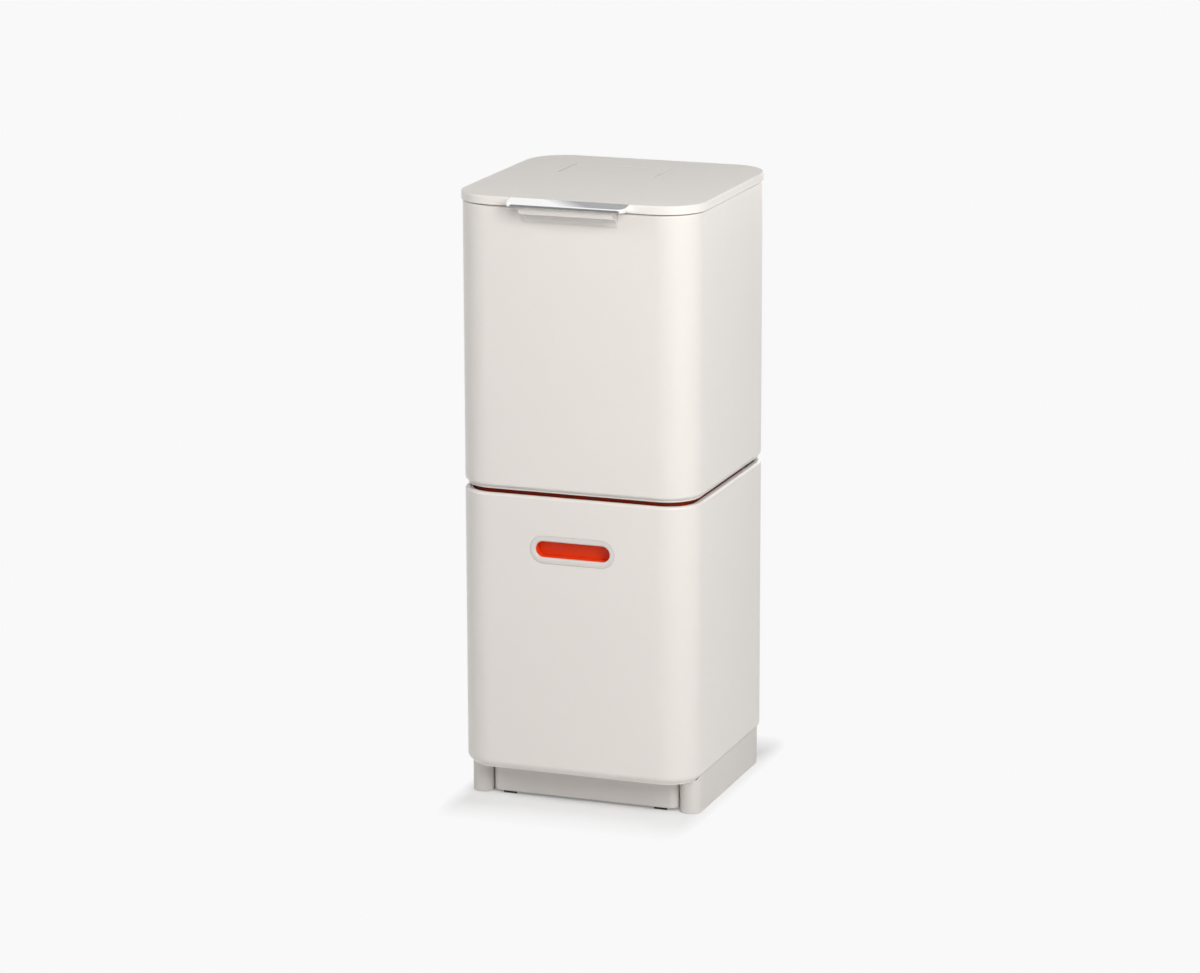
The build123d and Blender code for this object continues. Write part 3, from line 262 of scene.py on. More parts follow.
def bucket_with_painted_shade(name):
    """The red moulding with painted shade on the outside of the bucket's rim."""
    material = moulding(name, RED, 0.40, 0.05, shine=0.3)
    low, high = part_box("drawer_bucket")
    middle = ((low.x + high.x) / 2, (low.y + high.y) / 2, high.z)
    spot = vector_calc(material, "SUBTRACT", place_of(material), middle)
    facing = add_node(material, "ShaderNodeNewGeometry").outputs["Normal"]
    outward = vector_calc(material, "DOT_PRODUCT", spot, facing, result="Value")
    height = add_node(material, "ShaderNodeSeparateXYZ", {0: spot}).outputs["Z"]
    outer = spread(material, outward, 0.0, 1.0, *RIM_OUTWARD)
    upper = spread(material, height, 0.0, 1.0, *RIM_FADE)
    # painted shade: strongest on the outside of the rim near its top
    painted_shade = calc(material, "MULTIPLY", outer, upper)
    join_shader(material, Base_Color=two_tones(material, painted_shade, RED, shade(RED, RIM_PAINTED_SHADE)))
    return material


bucket_red = bucket_with_painted_shade("bucket_painted_shade_finish")
print("bucket", bucket_red.name)

# %% [markdown]
# ## Metals
# The liner ring is brushed along its length. The shader's anisotropic setting could blur its gloss that
# way, but it shows no single hairline. A noise that is stretched about forty times does, in both the
# gloss and the bump. The slides, the spine and the screws are zinc plated, which is duller and shows a
# faint cloudy spangle.

# %% Metals
def brushed_steel(name, color, stretch):
    """Steel with hairlines along the axis that is stretched least."""
    material = new_finish(name, color, 0.25, Metallic=1.0)
    hairs = noise(material, 1.0, detail=4.0, stretch=stretch, roughness=0.7)
    join_shader(material, Roughness=spread(material, hairs, 0.17, 0.34))
    join_shader(material, Base_Color=two_tones(material, hairs, shade(color, 0.94), shade(color, 1.04)))
    grain(material, hairs, 0.10, 0.0002)
    return material


def zinc_plate(name, color):
    """Zinc plated steel with a faint cloudy spangle."""
    material = new_finish(name, color, 0.36, Metallic=1.0)
    clouds = noise(material, 55.0, detail=4.0)
    join_shader(material, Base_Color=two_tones(material, clouds, shade(color, 0.85), shade(color, 1.08)))
    join_shader(material, Roughness=spread(material, noise(material, 230.0), 0.28, 0.46))
    grain(material, noise(material, 1100.0), 0.10, 0.0002)
    return material


ring_steel = brushed_steel("ring_steel_finish", (0.66, 0.66, 0.65), (60, 60, 2600))
zinc_steel = zinc_plate("zinc_steel_finish", (0.47, 0.48, 0.49))
fastener_steel = zinc_plate("fastener_steel_finish", (0.55, 0.55, 0.55))
print("metals ready")

# %% [markdown]
# ## The polished handle cap
# A polished strip of steel is a mirror: its top plate shows the bright ceiling at one end and the darker
# room at the other, its front lip shows the room, and every rounded edge catches a light. A plain studio
# has no such room to reflect. Dark cards around the bin could stand for it, but they would shade the
# paint too. So the reflection of the room is painted into the steel's colour: a soft slanted change of
# tone along the top plate, a dark painted reflection where the surface faces the front, and the clear
# tone wherever it turns from one to the other.

# %% The polished handle cap
CLEAR_STEEL = (0.97, 0.97, 0.97)
# painted reflections: the darker room on the top plate, and the room in the front lip
PAINTED_PLATE_REFLECTION = (0.36, 0.365, 0.37)
PAINTED_LIP_REFLECTION = (0.24, 0.24, 0.245)
CAP_FRONT_Y = -0.163
SLANT = 1.5
SLANT_RANGE = (-0.004, 0.034)  # place along the slanted line where the tone changes, in metres
TOP_FACING = (0.93, 0.975)  # upward part of the direction, from the bend to the top plate
LIP_FACING = (-0.985, -0.90)  # forward part of the direction, from the lip to the bend


def cap_with_painted_reflection(name):
    """Mirror steel with painted reflections of a room in its colour."""
    material = new_finish(name, CLEAR_STEEL, 0.20, Metallic=1.0)
    place = add_node(material, "ShaderNodeSeparateXYZ", {0: place_of(material)})
    normal = add_node(material, "ShaderNodeNewGeometry").outputs["Normal"]
    facing = add_node(material, "ShaderNodeSeparateXYZ", {0: normal})
    depth = calc(material, "SUBTRACT", place.outputs["Y"], CAP_FRONT_Y)
    slant = calc(material, "MULTIPLY_ADD", depth, SLANT, place.outputs["X"])
    along = spread(material, slant, 0.0, 1.0, *SLANT_RANGE)
    on_top = spread(material, facing.outputs["Z"], 0.0, 1.0, *TOP_FACING)
    on_lip = spread(material, facing.outputs["Y"], 1.0, 0.0, *LIP_FACING)
    # painted reflection: bright to dark along the top plate, then dark on the front lip
    plate = two_tones(material, calc(material, "MULTIPLY", along, on_top), CLEAR_STEEL, PAINTED_PLATE_REFLECTION)
    join_shader(material, Base_Color=two_tones(material, on_lip, plate, PAINTED_LIP_REFLECTION))
    hairs = noise(material, 1.0, detail=3.0, stretch=(5, 3000, 3000), roughness=0.6)
    join_shader(material, Roughness=spread(material, hairs, 0.17, 0.25))
    grain(material, hairs, 0.03, 0.0001)
    return material


painted_reflection_steel = cap_with_painted_reflection("cap_steel_painted_reflection_finish")
print("cap tones", CLEAR_STEEL[0], PAINTED_PLATE_REFLECTION[0], PAINTED_LIP_REFLECTION[0])

# %% [markdown]
# ## Rubber and carbon fleece
# Rubber is dark and soft in its highlights, with a dry bloom that lightens it in patches. The carbon
# filter is a fleece of fine fibres. Hair could make them one by one, but this pad is hidden in the lid, so
# its colour and height come from two thin stretched noises that cross.

# %% Rubber and carbon fleece
def rubber(name, color, roughness):
    """Dark rubber with a dry bloom."""
    material = new_finish(name, color, roughness)
    bloom = noise(material, 90.0, detail=4.0)
    join_shader(material, Base_Color=two_tones(material, bloom, shade(color, 0.8), shade(color, 1.5)))
    join_shader(material, Roughness=spread(material, bloom, roughness - 0.05, roughness + 0.08))
    grain(material, noise(material, 1300.0), 0.15, 0.0003)
    return material


def fleece(name, color):
    """A mat of fine fibres."""
    material = new_finish(name, color, 0.9)
    along = noise(material, 1.0, detail=4.0, stretch=(260, 1500, 900), roughness=0.7)
    across = noise(material, 1.0, detail=4.0, stretch=(1500, 260, 900), roughness=0.7)
    tangle = calc(material, "MAXIMUM", along, across)
    join_shader(material, Base_Color=two_tones(material, tangle, shade(color, 0.4), shade(color, 2.4)))
    grain(material, tangle, 0.8, 0.0008)
    return material


soft_rubber = rubber("soft_rubber_finish", (0.040, 0.040, 0.041), 0.62)
tyre_rubber = rubber("tyre_rubber_finish", (0.018, 0.018, 0.018), 0.70)
carbon_pad = fleece("carbon_pad_finish", (0.012, 0.012, 0.012))
finishes = dict(body_paint=body_paint, trim_plastic=trim_plastic, red_plastic=red_plastic,
                grey_plastic=grey_plastic, hub_plastic=hub_plastic, steel=painted_reflection_steel, zinc_steel=zinc_steel,
                fastener_steel=fastener_steel, soft_rubber=soft_rubber, tyre_rubber=tyre_rubber,
                carbon_pad=carbon_pad)
print("finishes", sorted(finishes))

# %% [markdown]
# ## Dress the CAD pieces
# The imported record says which material slot each piece has, so one loop gives every piece its finish.
# Naming forty-nine pieces one by one would do the same, with more room for a slip. A few pieces have a
# finish of their own: the ring of brushed steel, the bucket with painted shade on the outside of its rim,
# the trim under the drawer with painted light in a paler colour, and the duller lid, a little lighter as
# painted light.

# %% Dress the CAD pieces
for subpart in frame["record"]["subparts"]:
    cad_piece = nodes[subpart["node"]]
    cad_piece.data.materials.clear()
    cad_piece.data.materials.append(finishes[subpart["material_slot"]])
own_finishes = dict(liner_ring=ring_steel, drawer_bucket=bucket_red, drawer_bottom_trim=trim_with_painted_light,
                    lid_cover=lid_paint, vent_cover=lid_paint)
for node_name, finish in own_finishes.items():
    nodes[node_name].data.materials[0] = finish

# %% [markdown]
# ## Smooth meshes from rounded rectangles
# Most pieces of this bin follow one plan, a square with round corners, at different insets and heights. A
# box with a bevel modifier could be rounded like that, but a loft through such rectangles puts every strip
# of quads where it is wanted. Rounded edges get a short support strip beside them, so that the flat walls
# stay flat in the light, and edges sharper than a limit are marked sharp.

# %% Corners and lofts
MM = 0.001  # every length below is in mm and is turned into metres with this
CORNER_STEPS = 18
EDGE_STEPS = 5
SUPPORT = 0.4
LONG_RUN = 20 * SUPPORT
SHARP_EDGE = math.radians(32)
BODY_CENTRE_Y = 10.0


def heading(turn):
    """The unit vector at a turn in degrees from +X."""
    angle = math.radians(turn)
    return Vector((math.cos(angle), math.sin(angle)))


def rounded_loop(corners, steps=EDGE_STEPS):
    """A closed loop of points from corners (u, v, radius), in mm, with each corner rounded."""
    points = []
    for before, corner, after in zip(corners[-1:] + corners[:-1], corners, corners[1:] + corners[:1]):
        tip, radius = Vector(corner[:2]), corner[2]
        if radius == 0:
            points.append(tip)
            continue
        back = (Vector(before[:2]) - tip).normalized()
        ahead = (Vector(after[:2]) - tip).normalized()
        half = back.angle(ahead) / 2
        centre = tip + (back + ahead).normalized() * radius / math.sin(half)
        start = tip + back * radius / math.tan(half)
        end = tip + ahead * radius / math.tan(half)
        lead = min(SUPPORT, radius / 2)
        points.append(start + back * lead)
        for step in range(steps + 1):
            points.append(centre + radius * (start - centre).slerp(end - centre, step / steps))
        points.append(end + ahead * lead)
    return points


def plan_points(half_x, half_y, radius, seam=None):
    """Points around a rounded rectangle in mm, counter-clockwise; with a seam it is open behind it."""
    centre_x, centre_y = half_x - radius, half_y - radius
    arcs = [(-1, -1, 180, 270), (1, -1, 270, 360), (1, 1, 360, 450), (-1, 1, 90, 180)]
    if seam is not None:
        reach = math.degrees(math.asin((seam - centre_y) / radius))
        arcs = [(-1, 1, 180 - reach, 180), (-1, -1, 180, 270), (1, -1, 270, 360), (1, 1, 360, 360 + reach)]
    points = []
    for side_x, side_y, start, end in arcs:
        middle = Vector((side_x * centre_x, side_y * centre_y))
        for step in range(CORNER_STEPS + 1):
            points.append(middle + radius * heading(start + (end - start) * step / CORNER_STEPS))
    return with_supports(points, seam is None)


def with_supports(points, closed):
    """Add a support point at both ends of each long straight run."""
    result = []
    pairs = list(zip(points, points[1:] + points[:1])) if closed else list(zip(points, points[1:]))
    for first, second in pairs:
        result.append(first)
        run = second - first
        if run.length > LONG_RUN:
            result.append(first + run.normalized() * SUPPORT)
            result.append(second - run.normalized() * SUPPORT)
    if not closed:
        result.append(points[-1])
    return result


def add_piece(name, mesh, finish, slot, body, *replaced):
    """Turn a bmesh into a piece that rides on a body, with smooth faces and sharp creases."""
    bmesh.ops.recalc_face_normals(mesh, faces=mesh.faces)
    data = bpy.data.meshes.new(name)
    mesh.to_mesh(data)
    mesh.free()
    data.polygons.foreach_set("use_smooth", [True] * len(data.polygons))
    data.set_sharp_from_angle(angle=SHARP_EDGE)
    data.materials.append(finish)
    piece = bpy.data.objects.new(name, data)
    bpy.context.scene.collection.objects.link(piece)
    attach(piece, body)
    if replaced:
        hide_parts(*replaced)
    print(f"{name}: {len(data.polygons)} faces")
    return piece


def bridge(mesh, loops, around=True):
    """Faces between neighbouring loops of vertices; around joins each loop's end to its start."""
    for low, high in zip(loops, loops[1:]):
        for here in range(len(low) if around else len(low) - 1):
            following = (here + 1) % len(low)
            mesh.faces.new((low[here], low[following], high[following], high[here]))


def loft(rings, seam=None, closed=True, place=Matrix.Translation((0, BODY_CENTRE_Y, 0))):
    """A bmesh through rings (half width, half depth, radius, height) in mm; an open loft gets flat ends."""
    mesh = bmesh.new()
    loops = []
    for half_x, half_y, radius, height in rings:
        flat = plan_points(half_x, half_y, radius, seam)
        loops.append([mesh.verts.new(place @ Vector((*point, height)) * MM) for point in flat])
    bridge(mesh, loops + loops[:1] if closed else loops, seam is None)
    if seam is not None:
        mesh.faces.new([loop[0] for loop in loops])
        mesh.faces.new([loop[-1] for loop in reversed(loops)])
    elif not closed:
        mesh.faces.new(list(reversed(loops[0])))
        mesh.faces.new(loops[-1])
    return mesh


print("loft helpers ready")

# %% [markdown]
# ## The two painted wraps
# Each compartment is one sheet that is bent round the front, with its top and bottom edges rolled
# inwards. Its section is a long thin loop of eight corners, so the loft makes the outside, the inside and
# the lips at once. A solidify modifier on a bent plane would do it too, but it thins the rolled edges.
# The sheet ends at the seam with the rear cover.

# %% The two painted wraps
BODY_HALF = 150.0
BODY_RADIUS = 44.0
SEAM_Y = 128.0
SHEET = 1.0
LIP_EDGE = 0.2
WRAP_EDGE_STEPS = 8


def body_rings(section):
    """Rings on the body's plan from section points (inset, height)."""
    return [(BODY_HALF - inset, BODY_HALF - inset, BODY_RADIUS - inset, height) for inset, height in section]


def wrap_section(bottom, top, bottom_roll, top_roll, bottom_lip, top_lip):
    """The section of a sheet with both edges rolled inwards."""
    return rounded_loop([
        (bottom_lip, bottom, LIP_EDGE), (0, bottom, bottom_roll), (0, top, top_roll),
        (top_lip, top, LIP_EDGE), (top_lip, top - SHEET, LIP_EDGE), (SHEET, top - SHEET, top_roll - SHEET),
        (SHEET, bottom + SHEET, bottom_roll - SHEET), (bottom_lip, bottom + SHEET, LIP_EDGE)],
        steps=WRAP_EDGE_STEPS)


def height_of(node):
    """Lowest and highest point of a CAD piece, in mm."""
    low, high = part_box(node)
    return low.z / MM, high.z / MM


upper_low, upper_high = height_of("upper_shell")
upper_section = wrap_section(upper_low, upper_high, bottom_roll=5, top_roll=2, bottom_lip=14, top_lip=4)
upper_wrap = loft(body_rings(upper_section), seam=SEAM_Y)
add_piece("upper_wrap", upper_wrap, body_paint, "body_paint", "chassis", "upper_shell")

# %% [markdown]
# ## The drawer front
# The drawer's wrap has a slot for the finger pull. The slot's outline could be woven into the quads of
# the sheet, which is a lot of work for one hole. A boolean cut with a slot-shaped block is the plain way
# to open a sheet that is already bent, and as the front is flat there, it leaves the shading alone.

# %% The drawer wrap with its slot
PULL_Z = 323.3
FRONT_Y = -140.0
SLOT_SIZE = (53.7, 17.2)
SLOT_REACH = 6
SLOT_STRAIGHT = 0.001  # half of what is left of each short side between its round corners
DRAWER_ROLL = 8.0


def cut_away(mesh, cutter):
    """The first bmesh with the second cut out of it."""
    objects = []
    for source in (mesh, cutter):
        bmesh.ops.recalc_face_normals(source, faces=source.faces)
        data = bpy.data.meshes.new("cut")
        source.to_mesh(data)
        source.free()
        objects.append(bpy.data.objects.new("cut", data))
        bpy.context.scene.collection.objects.link(objects[-1])
    solid, tool = objects
    modifier = solid.modifiers.new("cut", "BOOLEAN")
    modifier.operation = "DIFFERENCE"
    modifier.object = tool
    result = bmesh.new()
    result.from_object(solid, bpy.context.evaluated_depsgraph_get())
    for item in objects:
        bpy.data.objects.remove(item)
    return result


def slot_rings(section):
    """Rings of a slot from (half width, half height, depth) in mm."""
    return [(half_x, half_z, half_z - SLOT_STRAIGHT, depth) for half_x, half_z, depth in section]


FACE_THE_FRONT = Matrix.Translation((0, FRONT_Y, PULL_Z)) @ Matrix.Rotation(math.radians(90), 4, "X")
drawer_low, drawer_high = height_of("drawer_shell")
drawer_section = wrap_section(drawer_low, drawer_high, DRAWER_ROLL, top_roll=3.5, bottom_lip=14, top_lip=6)
drawer_wrap = loft(body_rings(drawer_section), seam=SEAM_Y)
slot_ends = slot_rings([(*SLOT_SIZE, -SLOT_REACH), (*SLOT_SIZE, SLOT_REACH)])
slot_cutter = loft(slot_ends, closed=False, place=FACE_THE_FRONT)
slotted_wrap = cut_away(drawer_wrap, slot_cutter)
add_piece("drawer_wrap", slotted_wrap, body_paint, "body_paint", "drawer", "drawer_shell")

# %% [markdown]
# ## The finger pull
# A moulded bezel lies flush in the slot, with a fine gap around it. Its inner edge rolls inwards, so
# fingers meet no sharp edge, and behind it a short red cup leads to the bucket. A curve with a round
# bevel could draw the rolled edge, but not the flange behind it. So both are lofts through slot-shaped
# rings: outer edge, face, rolled edge and rear flange for the bezel, and the inside and outside of the cup.

# %% The finger pull
PULL_OUTER, PULL_INNER = (53.4, 16.9), (47.0, 9.8)
PULL_CUP, PULL_FLANGE = (49.0, 11.8), (57.5, 21.0)
PULL_ROLL = 2.4
PULL_ROLL_STEPS = 8
FACE_EDGE = 0.35
FLANGE_FRONT, BEZEL_BACK = 1.0, 3.1
BACK_EDGE, FLANGE_EDGE = 0.3, 0.2
CUP_DEPTH, CUP_EDGE, CUP_GAP = 14.0, 0.4, 0.05


def grown(size, by):
    """A slot size made larger all round."""
    return size[0] + by, size[1] + by


def bezel_rings():
    """Rings of the bezel: outer edge, face, rolled inner edge and rear flange."""
    rings = [(*PULL_OUTER, -FLANGE_FRONT)]
    for step in range(EDGE_STEPS + 1):
        turn = math.radians(90 * step / EDGE_STEPS)
        size = grown(PULL_OUTER, FACE_EDGE * (math.cos(turn) - 1))
        rings.append((*size, FACE_EDGE * (math.sin(turn) - 1)))
    for step in range(PULL_ROLL_STEPS + 1):
        turn = math.radians(90 * step / PULL_ROLL_STEPS)
        size = grown(PULL_INNER, PULL_ROLL * (1 - math.sin(turn)))
        rings.append((*size, PULL_ROLL * (math.cos(turn) - 1)))
    flange_step = grown(PULL_FLANGE, -BACK_EDGE)
    rings += [(*PULL_INNER, BACK_EDGE - BEZEL_BACK), (*grown(PULL_INNER, BACK_EDGE), -BEZEL_BACK),
              (*flange_step, -BEZEL_BACK), (*PULL_FLANGE, FLANGE_EDGE - BEZEL_BACK),
              (*PULL_FLANGE, -FLANGE_EDGE - FLANGE_FRONT), (*flange_step, -FLANGE_FRONT)]
    return slot_rings(rings)


def cup_rings():
    """Rings of the cup: the inside from the bezel to the bucket, and the outside back again."""
    front, back = -BEZEL_BACK - CUP_GAP, CUP_EDGE - CUP_DEPTH
    inside = [(*PULL_INNER, front), (*PULL_INNER, back), (*grown(PULL_INNER, CUP_EDGE), -CUP_DEPTH)]
    outside = [(*grown(PULL_CUP, -CUP_EDGE), -CUP_DEPTH), (*PULL_CUP, back), (*PULL_CUP, front)]
    return slot_rings(inside + outside)


pull_bezel = loft(bezel_rings(), place=FACE_THE_FRONT)
add_piece("pull_bezel", pull_bezel, trim_plastic, "trim_plastic", "drawer", "finger_pull_bezel")
pull_cup = loft(cup_rings(), place=FACE_THE_FRONT)
add_piece("pull_cup", pull_cup, red_plastic, "red_plastic", "drawer")

# %% [markdown]
# ## The handle cap
# The cap is a thin sheet of steel bent over the front and both ends of the handle, and it slopes gently
# to the front. Its plan is an open U with two round corners. A bevelled plate could stand for it, but in
# a mirror every facet of a bevel shows. So the loft climbs the lip, rolls over the bend in small steps
# and ends in two flat plates, the top and the underside. A generous roll is what catches the bright line.

# %% The handle cap
CAP_HALF, CAP_CORNER = 75.0, 10.0
CAP_REACH, CAP_SLOPE = 20.0, 3.7 / 20.0
CAP_SHEET, CAP_ROLL = 1.0, 1.5
CAP_ROLL_STEPS = 7
INNER_BEND, LIP_LOW_EDGE = 0.4, 0.15
LID_FRONT_Y = -152.8
LID_TOP = height_of("lid_cover")[1]
CAP_LOW = height_of("handle_cap")[0]


def cap_plan(inset):
    """The open U of the cap in plan, from the lid's edge on the left round to the lid's edge on the right."""
    front = LID_FRONT_Y - CAP_REACH
    points = [Vector((inset - CAP_HALF, LID_FRONT_Y))]
    for side, start in ((-1, 180), (1, 270)):
        middle = Vector((side * (CAP_HALF - CAP_CORNER), front + CAP_CORNER))
        for step in range(CORNER_STEPS + 1):
            points.append(middle + (CAP_CORNER - inset) * heading(start + 90 * step / CORNER_STEPS))
    points.append(Vector((CAP_HALF - inset, LID_FRONT_Y)))
    return with_supports(points, False)


def cap_ring(mesh, inset, drop, low=None):
    """Vertices of one ring, a given drop under the sloped top plane or at a fixed height."""
    ring = []
    for point in cap_plan(inset):
        height = LID_TOP - CAP_SLOPE * (LID_FRONT_Y - point.y) - drop if low is None else low
        ring.append(mesh.verts.new(Vector((point.x, point.y + BODY_CENTRE_Y, height)) * MM))
    return ring


def cap_mesh():
    """The cap as one closed sheet."""
    mesh = bmesh.new()
    rings = [cap_ring(mesh, CAP_ROLL, CAP_SHEET), cap_ring(mesh, CAP_SHEET, CAP_ROLL + INNER_BEND),
             cap_ring(mesh, CAP_SHEET, 0, CAP_LOW), cap_ring(mesh, LIP_LOW_EDGE, 0, CAP_LOW),
             cap_ring(mesh, 0, 0, CAP_LOW + LIP_LOW_EDGE)]
    for step in range(CAP_ROLL_STEPS + 1):
        turn = math.radians(90 * step / CAP_ROLL_STEPS)
        rings.append(cap_ring(mesh, CAP_ROLL * (1 - math.cos(turn)), CAP_ROLL * (1 - math.sin(turn))))
    rings.append(cap_ring(mesh, CAP_ROLL + SUPPORT, 0))
    bridge(mesh, rings, around=False)
    mesh.faces.new(rings[0])
    mesh.faces.new(rings[-1])
    mesh.faces.new([ring[0] for ring in rings] + [ring[-1] for ring in reversed(rings)])
    return mesh


add_piece("steel_cap", cap_mesh(), painted_reflection_steel, "steel", "lid", "handle_cap")

# %% [markdown]
# ## The rim of the base
# The walls of the base carry a slim rim that reaches up into the hollow under the drawer's rolled edge,
# so that the two surfaces nearly meet. The rim follows the column, the side and the rear corner in plan,
# and its top follows the roll at a small clearance. A curve with a bevel would sweep one section, but
# here the height changes along the way, so each station gets a section of its own.

# %% The rim of the base
COLUMN_PLACE, COLUMN_RADIUS, COLUMN_START = (134.0, -101.8), 13.3, -35
REAR_PLACE, REAR_RADIUS, REAR_END = (109.3, 105.0), 38.0, 80
TURN_STEP = 5
TAPER_STEPS = 3
RIM_WALL = 3.9
RIM_CLEARANCE = 0.25
RIM_LEAST, OUTER_LEAST, INNER_LEAST = 0.1, 0.5, 0.3
OUTER_EDGE, INNER_EDGE = 0.2, 0.1
BASE_TOP = height_of("base_frame")[1]
TRIM_INSET = 7.0


def rim_height(x, y):
    """Highest place under the drawer's rolled edge at a point of the plan."""
    centre = BODY_HALF - BODY_RADIUS
    inset = BODY_RADIUS - math.hypot(max(abs(x) - centre, 0), max(abs(y) - centre, 0))
    if inset > TRIM_INSET - RIM_CLEARANCE:
        return BASE_TOP + RIM_LEAST
    return drawer_low + DRAWER_ROLL - math.sqrt(DRAWER_ROLL ** 2 - (DRAWER_ROLL - inset) ** 2) - RIM_CLEARANCE


def rim_stations():
    """Turns around the column and the rear corner, as (centre, radius, angle, share of the full height)."""
    stations = []
    for step, turn in enumerate(range(COLUMN_START, 1, TURN_STEP)):
        stations.append((COLUMN_PLACE, COLUMN_RADIUS, turn, min(1, (step + 1) / TAPER_STEPS)))
    for turn in range(0, REAR_END + 1, TURN_STEP):
        stations.append((REAR_PLACE, REAR_RADIUS, turn, 1))
    return stations


def base_rim(side):
    """The rim on one side of the base."""
    mesh = bmesh.new()
    loops = []
    for centre, radius, turn, share in rim_stations():
        middle, away = Vector(centre), heading(turn)
        tops = []
        for reach in (radius, radius - RIM_WALL):
            edge = middle + away * reach
            tops.append(BASE_TOP + max(RIM_LEAST, share * (rim_height(edge.x, edge.y) - BASE_TOP)))
        outer_top, inner_top = max(tops[0], BASE_TOP + OUTER_LEAST), max(tops[1], BASE_TOP + INNER_LEAST)
        section = rounded_loop([(0, BASE_TOP, 0), (0, outer_top, OUTER_EDGE),
                                (RIM_WALL, inner_top, INNER_EDGE), (RIM_WALL, BASE_TOP, 0)], steps=3)
        loop = []
        for depth, height in section:
            spot = middle + away * (radius - depth)
            loop.append(mesh.verts.new(Vector((side * spot.x, spot.y + BODY_CENTRE_Y, height)) * MM))
        loops.append(loop)
    bridge(mesh, loops)
    mesh.faces.new(loops[0])
    mesh.faces.new(list(reversed(loops[-1])))
    return mesh


for side_name, side in (("left", -1), ("right", 1)):
    add_piece(f"{side_name}_base_rim", base_rim(side), trim_plastic, "trim_plastic", "chassis")

# %% [markdown]
# ## The plinth's skin
# The plinth under the drawer is faced with a thin moulded skin that wraps round both ends. It nearly
# touches the columns when the drawer is shut, so no slide shows beside them, and it moves out with the
# drawer. A block would fill the room of the wheels behind it. So a thin section with a rounded bottom
# edge is swept along a flat U.

# %% The plinth's skin
PLINTH_HALF, PLINTH_FRONT, PLINTH_CORNER = 119.9, -111.3, 12.0
PLINTH_WALL = 1.4
PLINTH_LOW, PLINTH_HIGH = height_of("drawer_tray")[0], BASE_TOP + 2.4
LOW_EDGE, HIGH_EDGE = 1.3, 0.3
SHORT_OF_SIDE = 10  # degrees by which each end of the U stops before the side


def plinth_plan():
    """Points of the plinth's U in plan and the direction outwards at each, from left to right."""
    points = []
    for side, start, end in ((-1, 180 + SHORT_OF_SIDE, 270), (1, 270, 360 - SHORT_OF_SIDE)):
        middle = Vector((side * (PLINTH_HALF - PLINTH_CORNER), PLINTH_FRONT + PLINTH_CORNER))
        for step in range(CORNER_STEPS + 1):
            outward = heading(start + (end - start) * step / CORNER_STEPS)
            points.append((middle + outward * PLINTH_CORNER, outward))
    return points


def plinth_skin():
    """The section of the skin, swept along the U."""
    mesh = bmesh.new()
    section = rounded_loop([(PLINTH_WALL, PLINTH_LOW, 0), (0, PLINTH_LOW, LOW_EDGE),
                            (0, PLINTH_HIGH, HIGH_EDGE), (PLINTH_WALL, PLINTH_HIGH, 0)])
    loops = []
    for point, outward in plinth_plan():
        loop = []
        for depth, height in section:
            spot = point - outward * depth
            loop.append(mesh.verts.new(Vector((spot.x, spot.y + BODY_CENTRE_Y, height)) * MM))
        loops.append(loop)
    bridge(mesh, loops)
    mesh.faces.new(loops[0])
    mesh.faces.new(list(reversed(loops[-1])))
    return mesh


add_piece("plinth_skin", plinth_skin(), trim_plastic, "trim_plastic", "drawer")

# %% [markdown]
# ## The wheel guards
# Two small dark marks show under the plinth in the photograph, just where the front wheels are. A short
# rubber guard hangs in front of each wheel here, moves with the drawer and clears the tyre and the floor.
# A cube with a bevel would do, but the loft is at hand and rounds the corners in plan as well.

# %% The wheel guards
GUARD_X, GUARD_Y = 97.3, -97.9
# half width, half depth, corner radius and height
GUARD_RINGS = [(8.1, 1.2, 0.8, 0.5), (8.5, 1.6, 1.2, 0.9), (8.5, 1.6, 1.2, 3.4), (8.2, 1.3, 0.9, 3.7)]
for side_name, side in (("left", -1), ("right", 1)):
    guard = loft(GUARD_RINGS, closed=False, place=Matrix.Translation((side * GUARD_X, GUARD_Y, 0)))
    add_piece(f"{side_name}_wheel_guard", guard, tyre_rubber, "tyre_rubber", "drawer")

# %% [markdown]
# ## Floor and world
# The photograph has a white studio. Strong light on the floor would make it white too, but it would wash
# out the bin. So the floor and the world show their pale tone to the camera and in reflections by Light
# Path, and the light on the bin stays at a plain level. Close to the bin the floor turns into a matt one
# that takes its soft shadow, and the share of the pale tone grows with the distance from the bin.

# %% Floor and world
PALE = (0.947, 0.947, 0.947)
AMBIENT = 0.16
FLOOR_TONE, FLOOR_REACH = 0.88, 40
FLOOR_SHARE = 0.25  # share of the plain pale tone right beside the bin
SHADOW_REACH = 0.075  # metres in front of the bin at which only the pale tone is left
SIDE_FADE = 3.0  # how many times sooner that is at the sides
SHADE_HALF = 138.0


def rays_that_see(material_or_world):
    """1 for rays that should see the pale surround: from the camera, by reflection or through glass."""
    path = add_node(material_or_world, "ShaderNodeLightPath")
    camera_or_glossy = calc(material_or_world, "MAXIMUM", path.outputs["Is Camera Ray"],
                            path.outputs["Is Glossy Ray"])
    return calc(material_or_world, "MAXIMUM", camera_or_glossy, path.outputs["Is Transmission Ray"])


world = bpy.data.worlds.new("studio")
world.use_nodes = True
bpy.context.scene.world = world
world.node_tree.nodes.clear()
seen = add_node(world, "ShaderNodeBackground", {"Color": (*PALE, 1), "Strength": 1.0})
glow = add_node(world, "ShaderNodeBackground", {"Color": (1, 1, 1, 1), "Strength": AMBIENT})
chosen = add_node(world, "ShaderNodeMixShader",
                  {0: rays_that_see(world), 1: glow.outputs[0], 2: seen.outputs[0]})
add_node(world, "ShaderNodeOutputWorld", {"Surface": chosen.outputs[0]})

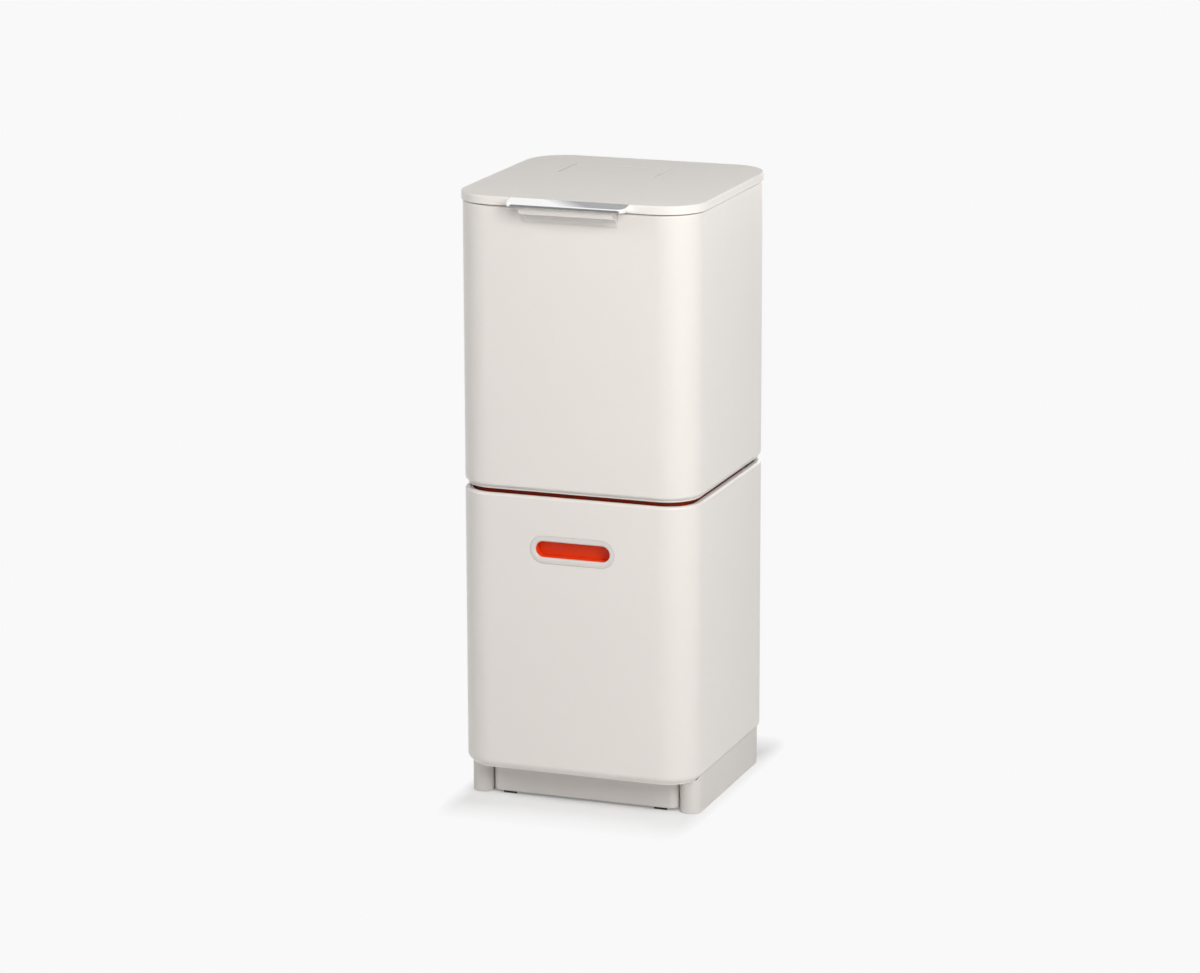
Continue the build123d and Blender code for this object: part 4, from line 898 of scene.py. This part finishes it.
floor_mesh = bpy.data.meshes.new("studio_floor")
floor_corners = [(x * FLOOR_REACH, y * FLOOR_REACH, 0) for x, y in ((-1, -1), (1, -1), (1, 1), (-1, 1))]
floor_mesh.from_pydata(floor_corners, [], [(0, 1, 2, 3)])
floor = bpy.data.objects.new("studio_floor", floor_mesh)
bpy.context.scene.collection.objects.link(floor)
floor_paint = bpy.data.materials.new("floor_paint")
floor_paint.use_nodes = True
floor_paint.node_tree.nodes.clear()
matt = add_node(floor_paint, "ShaderNodeBsdfDiffuse", {"Color": (FLOOR_TONE, FLOOR_TONE, FLOOR_TONE, 1)})
lit = add_node(floor_paint, "ShaderNodeEmission", {"Color": (*PALE, 1), "Strength": 1.0})
spot = add_node(floor_paint, "ShaderNodeTexCoord").outputs["Object"]
beside = vector_calc(floor_paint, "SUBTRACT", spot, (0, BODY_CENTRE_Y * MM, 0))
apart = vector_calc(floor_paint, "ABSOLUTE", beside)
beyond = vector_calc(floor_paint, "SUBTRACT", apart, (SHADE_HALF * MM, BODY_HALF * MM, 1))
outside = vector_calc(floor_paint, "MAXIMUM", beyond, (0, 0, 0))
sized = vector_calc(floor_paint, "MULTIPLY", outside, (SIDE_FADE, 1, 1))
away = vector_calc(floor_paint, "LENGTH", sized, result="Value")
fade = spread(floor_paint, away, FLOOR_SHARE, 1.0, 0.0, SHADOW_REACH)
share = calc(floor_paint, "MULTIPLY", rays_that_see(floor_paint), fade)
mixed = add_node(floor_paint, "ShaderNodeMixShader", {0: share, 1: matt.outputs[0], 2: lit.outputs[0]})
add_node(floor_paint, "ShaderNodeOutputMaterial", {"Surface": mixed.outputs[0]})
floor_mesh.materials.append(floor_paint)
print("floor and world ready")

# %% [markdown]
# ## Lamps
# A strip at the front right leaves the soft bright band on the rounded corner, and weaker boxes light the
# front, the left, the right side and the back. Point lamps would give hard shadows, so each lamp is a
# rectangle that faces the middle of the bin.

# %% Lamps
LAMP_TARGET = Vector((0, 0.01, 0.42))
# name, azimuth and elevation in degrees, distance, width and height in metres, power in watts
LAMPS = [("corner_strip", 45, 28, 2.1, 0.6, 1.3, 28.6),
         ("front_light", 12, 45, 2.2, 1.1, 1.1, 4.2),
         ("left_fill", -60, 30, 2.2, 1.0, 1.1, 13.6),
         ("side_light", 88, 42, 2.1, 0.9, 1.1, 3.7),
         ("back_light", 174, 12, 2.4, 1.2, 1.2, 10.0)]


def softbox(name, azimuth, elevation, distance, width, height, power):
    """A rectangular lamp that faces the bin; azimuth 0 is in front and 90 to the right."""
    data = bpy.data.lights.new(name, "AREA")
    data.shape = "RECTANGLE"
    data.size = width
    data.size_y = height
    data.energy = power
    lamp = bpy.data.objects.new(name, data)
    bpy.context.scene.collection.objects.link(lamp)
    turn, rise = math.radians(azimuth), math.radians(elevation)
    away = Vector((math.sin(turn) * math.cos(rise), -math.cos(turn) * math.cos(rise), math.sin(rise)))
    lamp.location = LAMP_TARGET + away * distance
    lamp.rotation_mode = "QUATERNION"
    lamp.rotation_quaternion = away.to_track_quat("Z", "Y")


for lamp_values in LAMPS:
    softbox(*lamp_values)
print("lamps", [lamp_values[0] for lamp_values in LAMPS])

# %% Finish
scene = bpy.context.scene
scene.view_settings.view_transform = "Standard"
